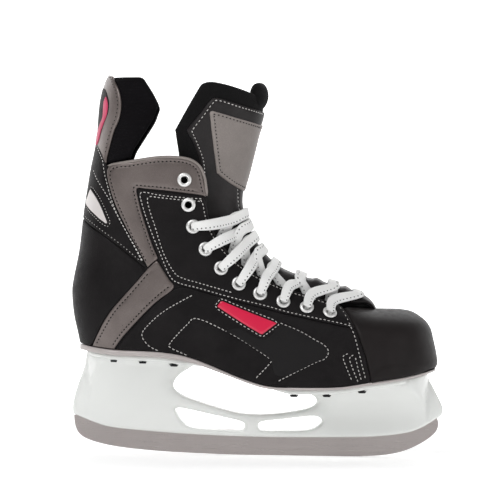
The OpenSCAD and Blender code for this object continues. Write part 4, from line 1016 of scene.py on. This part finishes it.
TONGUE_LINE = [(96.6, 116, 13, 1.5), (94.8, 121, 13.5, 2), (90.5, 126.6, 14.5, 4), (83.5, 131, 15.5, 8),
    (72, 134.8, 16, 11), (58, 138.8, 16, 14.5), (34, 145, 17, 18), (15, 153.5, 18.5, 22), (1, 168, 20, 27),
    (-8, 184, 21.5, 34), (-12.5, 197, 23, 41), (-13, 210, 24, 48), (-9, 226, 26, 54), (-5, 243, 29, 61),
    (-1.5, 258, 33, 65), (3, 273, 35, 66), (5, 300, 36, 66)]
tongue_path = curve(TONGUE_LINE, 8)
TONGUE_RUN = run_of(tongue_path[:, :2])
upright = np.clip((tongue_path[:, 1:2] - 186) / 20, 0, 1)
tongue_along = unit((1 - upright) * unit(np.gradient(tongue_path[:, :2], axis=0)) + upright * [0, 1])
TONGUE_LENGTH = math.pi / 2 * np.sqrt((tongue_path[:, 2] ** 2 + tongue_path[:, 3] ** 2) / 2)


def run_at(z):
    """Distance along the tongue to a height."""
    return np.interp(z, tongue_path[:, 1], TONGUE_RUN)


def girth_at(v):
    return np.interp(v, TONGUE_RUN, TONGUE_LENGTH)


def on_tongue(u, v, d):
    """u is the distance round the tongue from its middle line, and v the distance up it."""
    x, z, hw, deep = (np.interp(v, TONGUE_RUN, tongue_path[:, k]) for k in range(4))
    tx, tz = (np.interp(v, TONGUE_RUN, tongue_along[:, k]) for k in range(2))
    a = math.pi / 2 * u / girth_at(v)
    back = d - deep * (1 - np.cos(a))
    return np.stack([x + tz * back, (hw + d) * np.sin(a) + lean(x), z - tx * back], -1)


def tongue_round(points, d, n=6):
    """[u, v] on the tongue of places seen from the side, on the layer that stands at d."""
    p = curve(points, n)
    x, _, _, deep = (np.interp(p[:, 1], tongue_path[:, 1], tongue_path[:, k]) for k in range(4))
    v = run_at(p[:, 1])
    a = np.arccos(np.clip(1 - (x + d - p[:, 0]) / deep, 0, 1))
    return np.stack([a / (math.pi / 2) * girth_at(v), v], -1)


def low_tongue(reach):
    """The half plan's edge below the fold: out from the middle line and up at an angle given for each height."""
    z = np.linspace(116.4, 212.0, 40)
    v = run_at(z)
    edge = np.stack([reach(z) / 90 * girth_at(v), v], -1)
    start = np.stack([np.linspace(0, 0.97, 8) * edge[0, 0], np.full(8, v[0])], -1)
    return np.vstack([start, edge])


FELT_EDGE = [(-64, 216), (-66.2, 237.5), (-69.2, 257), (-68.2, 262), (-52, 291.5), (-47.5, 297), (-41, 297.8),
    (-30.6, 296), (-20, 293), (-12, 290.2), (-4.4, 287)]
VINYL_EDGE = [(-46, 216), (-45.5, 226), (-47, 237), (-51, 247.5), (-56.3, 257.5), (-55.6, 261), (-46, 273),
    (-39.5, 282), (-34, 285), (-17, 280.5), (2.6, 275.5)]
VINYL_STITCH = [(-44, 216), (-43.6, 226), (-45.1, 236.5), (-49, 247), (-54, 258), (-53.2, 260), (-44.5, 271.5),
    (-38, 280.5), (-33.5, 283), (-17, 278.5), (2.2, 273.7)]
PATCH_EDGE = [(-12.2, 212), (-22, 217.5), (-32, 225), (-33.4, 229), (-38.6, 268), (-38.6, 274), (-35, 274),
    (-18, 269.5), (0.4, 265)]
PATCH_STITCH = [(-11.4, 214.6), (-21, 219.6), (-30, 226.5), (-31.4, 230), (-36.3, 267.6), (-35.8, 271.8),
    (-18, 267.2), (0, 262.8)]
PATCH_OUT = 1.3
TONGUE_SEAM = [(-17.2, 213.5), (-16.8, 206), (-16, 199), (-12.6, 189)]
PUFFS = [run_at(z) for z in (141.3, 135.2)]


def puff(u, v):
    """The padding swells between the lowest crossings of the laces."""
    return 2.0 * np.exp(-(u / 11) ** 2) * sum(np.exp(-((v - at) / 3.4) ** 2) for at in PUFFS)


def make_tongue():
    felt = np.vstack([low_tongue(lambda z: 88 + 0 * z), tongue_round(FELT_EDGE, -7.5)])
    piece = pad("tongue_felt_pad", on_tongue, mirrored(felt), -7.5, -1.5, FELT, 2.6, 3.5, both=True, bend=FOLD,
                replaces=["tongue_felt", "tongue_top_felt"])
    vinyl = np.vstack([low_tongue(lambda z: np.interp(z, [116, 200, 212], [86, 80, 74])),
                       tongue_round(VINYL_EDGE, 0)])
    stitches = [tongue_round(row, 0) * [way, 1] for row in (VINYL_STITCH, TONGUE_SEAM) for way in (1, -1)]
    pad("tongue_vinyl_face", on_tongue, mirrored(vinyl), -1.6, puff, VINYL, 1.1, bend=FOLD,
        grooves=[(line, 0.3, 0.9) for line in stitches], replaces=["tongue_facing", "tongue_top_facing"])
    stitch_rows("tongue_thread", on_tongue, stitches, -THREAD_SINK, THREAD, bend=FOLD)
    holes = [tongue_round(PATCH_STITCH, PATCH_OUT) * [way, 1] for way in (1, -1)]
    pad("tongue_patch_sheet", on_tongue, mirrored(tongue_round(PATCH_EDGE, PATCH_OUT)), -0.1, PATCH_OUT, PATCH, 1.0,
        grooves=[(line, 0.3, 0.9) for line in holes], bend=FOLD, replaces=["tongue_top_patch"])
    stitch_rows("patch_thread", on_tongue, holes, PATCH_OUT - THREAD_SINK, in_slot(HOLES, "black_leather"), bend=FOLD,
                **PUNCHED)


def make_lip():
    """The felt's top edge, curled forward over the shin."""
    count, around, radius = 47, 28, 13.2
    across = np.linspace(-1, 1, count)
    angle = np.radians(66 * across)
    size = np.maximum((1 - np.abs(across) ** 5) ** 0.5, 0.12)[:, None]
    out = np.stack([np.cos(angle), np.sin(angle), 0 * angle], -1)
    mid = radius * out + [-13.6, 0, 288]
    c, s = np.cos(turns(around)), np.sin(turns(around))
    wide = size * c * (6.6 - 1.4 * (s < 0) * s**2)
    ring = rings(mid, out, np.broadcast_to([0, 0, 1], (count, 3)), wide, 11 * size * s + 0.06 * wide)
    piece = make_mesh("tongue_lip_roll", ring.reshape(-1, 3), tube_faces(count, around), FELT,
                      replaces=["tongue_lip"], body=TONGUE)


LACE_WIDTH = 9
EDGE_POINTS = [(-37.5, 184), (-30, 171.5), (-19.5, 159.5), (-7.5, 150), (6, 142.2), (24, 134.8), (43, 129),
    (59.5, 123.8)]
CROSSING_Z = [194, 185, 175.5, 165.5, 154.5, 145, 138.2]
BAR_Z = 132.2
OTHER = {"outer": "inner", "inner": "outer"}


def lace_stop(p, up, width=LACE_WIDTH, thick=LACE_THICK):
    """One row of a lace's course: its place, the way its face looks, and its size."""
    return [*p, *unit(np.array(up, float)), width, thick]


def lace_on_tongue(z, degrees, lift, drop=0.0):
    v = run_at(z) - drop
    u = degrees / 90 * girth_at(v)
    return lace_stop(on_tongue(u, v, lift), on_tongue(u, v, lift + 1) - on_tongue(u, v, lift))


def lace_in_eyelet(row, side):
    p = EYELETS[row]
    up = out_from(p, side)
    return [lace_stop(on_boot(p, side, 4.6), up, 6.5), lace_stop(on_boot(p, side, 2.8), (1, 0, 1), 3.8, 2),
            lace_stop(on_boot(p, side, -5.4), (1, 0, 1), 3.8, 2),
            lace_stop(on_boot(p, side, -7.2) + [1.2, 0, 1.2], up, 6)]


def lace_over(row, side, lift):
    """From behind the edge of the eyestay on one side, over the tongue, to the front of the other side's."""
    here, there = EDGE_POINTS[row - 2], EDGE_POINTS[row - 3]
    across = SIDES[side]
    sag = (10 - row) / 7
    middle = [lace_on_tongue(CROSSING_Z[row - 3], -across * a, lift, sag * drop)
              for a, drop in ((-50, 3.5), (-25, 1.6), (0, 0), (25, 1), (50, 3.2))]
    return [lace_stop(on_boot(here, side, -6.4), out_from(here, side)), *middle,
            lace_stop(on_boot(there, OTHER[side], 4), out_from(there, OTHER[side]))]


def make_lace(start, lift):
    way = SIDES[start]
    stops = [lace_on_tongue(BAR_Z, way * a, 1.4) for a in (1, 25, 50)]
    stops.append(lace_stop(on_boot(EDGE_POINTS[7], start, 4), out_from(EDGE_POINTS[7], start)))
    for row in range(9, 1, -1):
        side = start if (9 - row) % 2 == 0 else OTHER[start]
        stops += lace_in_eyelet(row, side)
        if row > 2:
            stops += lace_over(row, side, lift)
    line = curve(stops, 7)
    ribbon(f"lace_{start}_weave", line[:, :3], unit(line[:, 3:6]), line[:, 6], line[:, 7], [f"lace_{start}"])


# ---------------------------------------------------------------- tendon guard
GUARD_LOW = [(-133.5, 232), (-131, 231.5), (-125, 231), (-116, 232.5), (-103, 235.5)]
GUARD_FRONT = [(-103, 235.5), (-100, 243), (-93, 254.5), (-86, 266), (-83.3, 273), (-82, 279.5), (-87, 290),
    (-92.5, 298.5)]
GUARD_HIGH = [(-92.5, 298.5), (-97, 301), (-107, 301.8), (-115, 302.2), (-121, 302.5), (-124, 302.5)]
SHELL_LOW = [(-133.5, 234), (-131.5, 233.5), (-127, 232), (-122.5, 230.5)]
SHELL_FRONT = [(-122.5, 230.5), (-121.8, 237), (-119.5, 247), (-116.5, 257.5), (-112.5, 267), (-111, 279),
    (-113.5, 291), (-118, 301.5)]
SHELL_HIGH = [(-118, 301.5), (-121, 303), (-123.5, 303)]
SHELL_STITCH = [(-122.6, 240), (-121, 249), (-118.3, 258.5), (-114.7, 268), (-113.2, 279), (-115.4, 290),
    (-119.2, 299.3), (-121.5, 300.6)]
LENS_LOW = [(-132, 247), (-130.6, 247), (-128.5, 250), (-126, 257), (-123.3, 265), (-120.8, 271.5), (-119.9, 278),
    (-120.4, 283), (-122.6, 289.5), (-124.6, 292), (-127, 292.5)]
INSERT_RIGHT = [(-130, 246), (-128.4, 249.5), (-126.4, 257), (-124, 264), (-121.6, 270.5), (-120.8, 276.5),
    (-121.2, 281), (-122.6, 285.5)]
INSERT_LEFT = [(-130.6, 248), (-129.6, 255), (-127.6, 262), (-125.2, 268), (-124.6, 274), (-124.2, 281)]
RIB_PITCH = 2.4


def wrap_loop(*edges):
    return mirrored(np.vstack([on_side(edge, "inner", 5) for edge in edges]))


def make_guard():
    def ribs(u, v, near):
        return 0.32 * np.cos(2 * math.pi * v / RIB_PITCH) * np.clip(near / 3, 0, 1)

    piece = pad("guard_pad_cloth", on_skin, wrap_loop(GUARD_LOW, GUARD_FRONT, GUARD_HIGH), -8, -1, RIBBED, 3.2,
                0.75, relief=ribs, both=True, bend=LEAN_BACK, replaces=["guard_pad"])
    pad("guard_shell_leather", on_skin, wrap_loop(SHELL_LOW, SHELL_FRONT, SHELL_HIGH), -0.6, 1, GREY, 1.0,
        bend=LEAN_BACK, replaces=["guard_shell"])
    pad("guard_lens_leather", on_skin, wrap_loop(LENS_LOW), 0.5, 1.25, BLACK, 0.8, 2, bend=LEAN_BACK)
    stitch_rows("guard_thread", on_skin, [on_side(SHELL_STITCH, side, 5) for side in SIDES], 0.8, HOLES,
                bend=LEAN_BACK, **PUNCHED)
    for side in SIDES:
        pad(f"guard_insert_{side}", on_skin, side_plan(INSERT_RIGHT, INSERT_LEFT, side), 0.9, 1.9, ROSE, 0.8, 1.5,
            bend=LEAN_BACK, replaces=["guard_insert"] if side == "outer" else ())


# ---------------------------------------------------------------- kept parts and the floor
KEPT = {"runner": STEEL, "rear_bolt": BOLT, "front_bolt": BOLT, "rear_nut": BOLT, "front_nut": BOLT,
        "heel_rivets": RIVET_PAINTED_SHADE, "toe_rivets": RIVET_PAINTED_SHADE, "insole_board": BOARD, "aglet_outer": AGLET,
        "aglet_inner": AGLET}


def finish_kept():
    for node, look in KEPT.items():
        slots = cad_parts[node].data.materials
        slots.clear()
        slots.append(look[0])


def make_floor():
    """A pale floor that turns up into a wall behind."""
    p = Paint("studio_floor")
    far = p.add("ShaderNodeVectorMath", {"operation": "LENGTH"}, _0=p.where).outputs["Value"]
    glow = p.mixed(p.ranged(far, 0.4, 1.3, 0.32, 0.95), (0, 0, 0), (1, 1, 1))
    tone = p.mixed(p.ranged(p.noise(6, 2), 0.3, 0.7), (0.9, 0.9, 0.9), (0.93, 0.93, 0.93))
    pale, _ = p.finish(Base_Color=tone, Emission_Color=glow, Roughness=0.9, Specular_IOR_Level=0.1,
                       Emission_Strength=1.0)
    reach, wall, radius, height = 30.0, 4.0, 0.8, 6.0
    bend = np.linspace(0, math.pi / 2, 17)
    section = [(-reach, 0.0)] + [(wall + radius * math.sin(t), radius * (1 - math.cos(t))) for t in bend]
    section.append((wall + radius, height))
    points = [(x, y, z) for y, z in section for x in (-reach, reach)]
    faces = [(2 * i, 2 * i + 1, 2 * i + 3, 2 * i + 2) for i in range(len(section) - 1)]
    data = bpy.data.meshes.new("studio_floor")
    data.from_pydata(points, [], faces)
    data.shade_smooth()
    data.materials.append(pale)
    new_object("studio_floor", data)


# ---------------------------------------------------------------- the whole skate
make_camera()
make_studio()
for side in SIDES:
    make_tail(side)
make_floor()
finish_kept()
make_holder()
make_soles()
make_toe()
make_heel()
for side in SIDES:
    make_wall(side)
    make_ankle_pad(side)
    make_overlays(side)
    make_collar_bead(side)
    make_weave(side)
    make_badges(side)
    make_stitches(side)
    make_eyelets(side)
make_tongue()
make_lip()
make_lace("outer", 1.3)
make_lace("inner", 3.1)
make_guard()

bpy.context.view_layer.update()
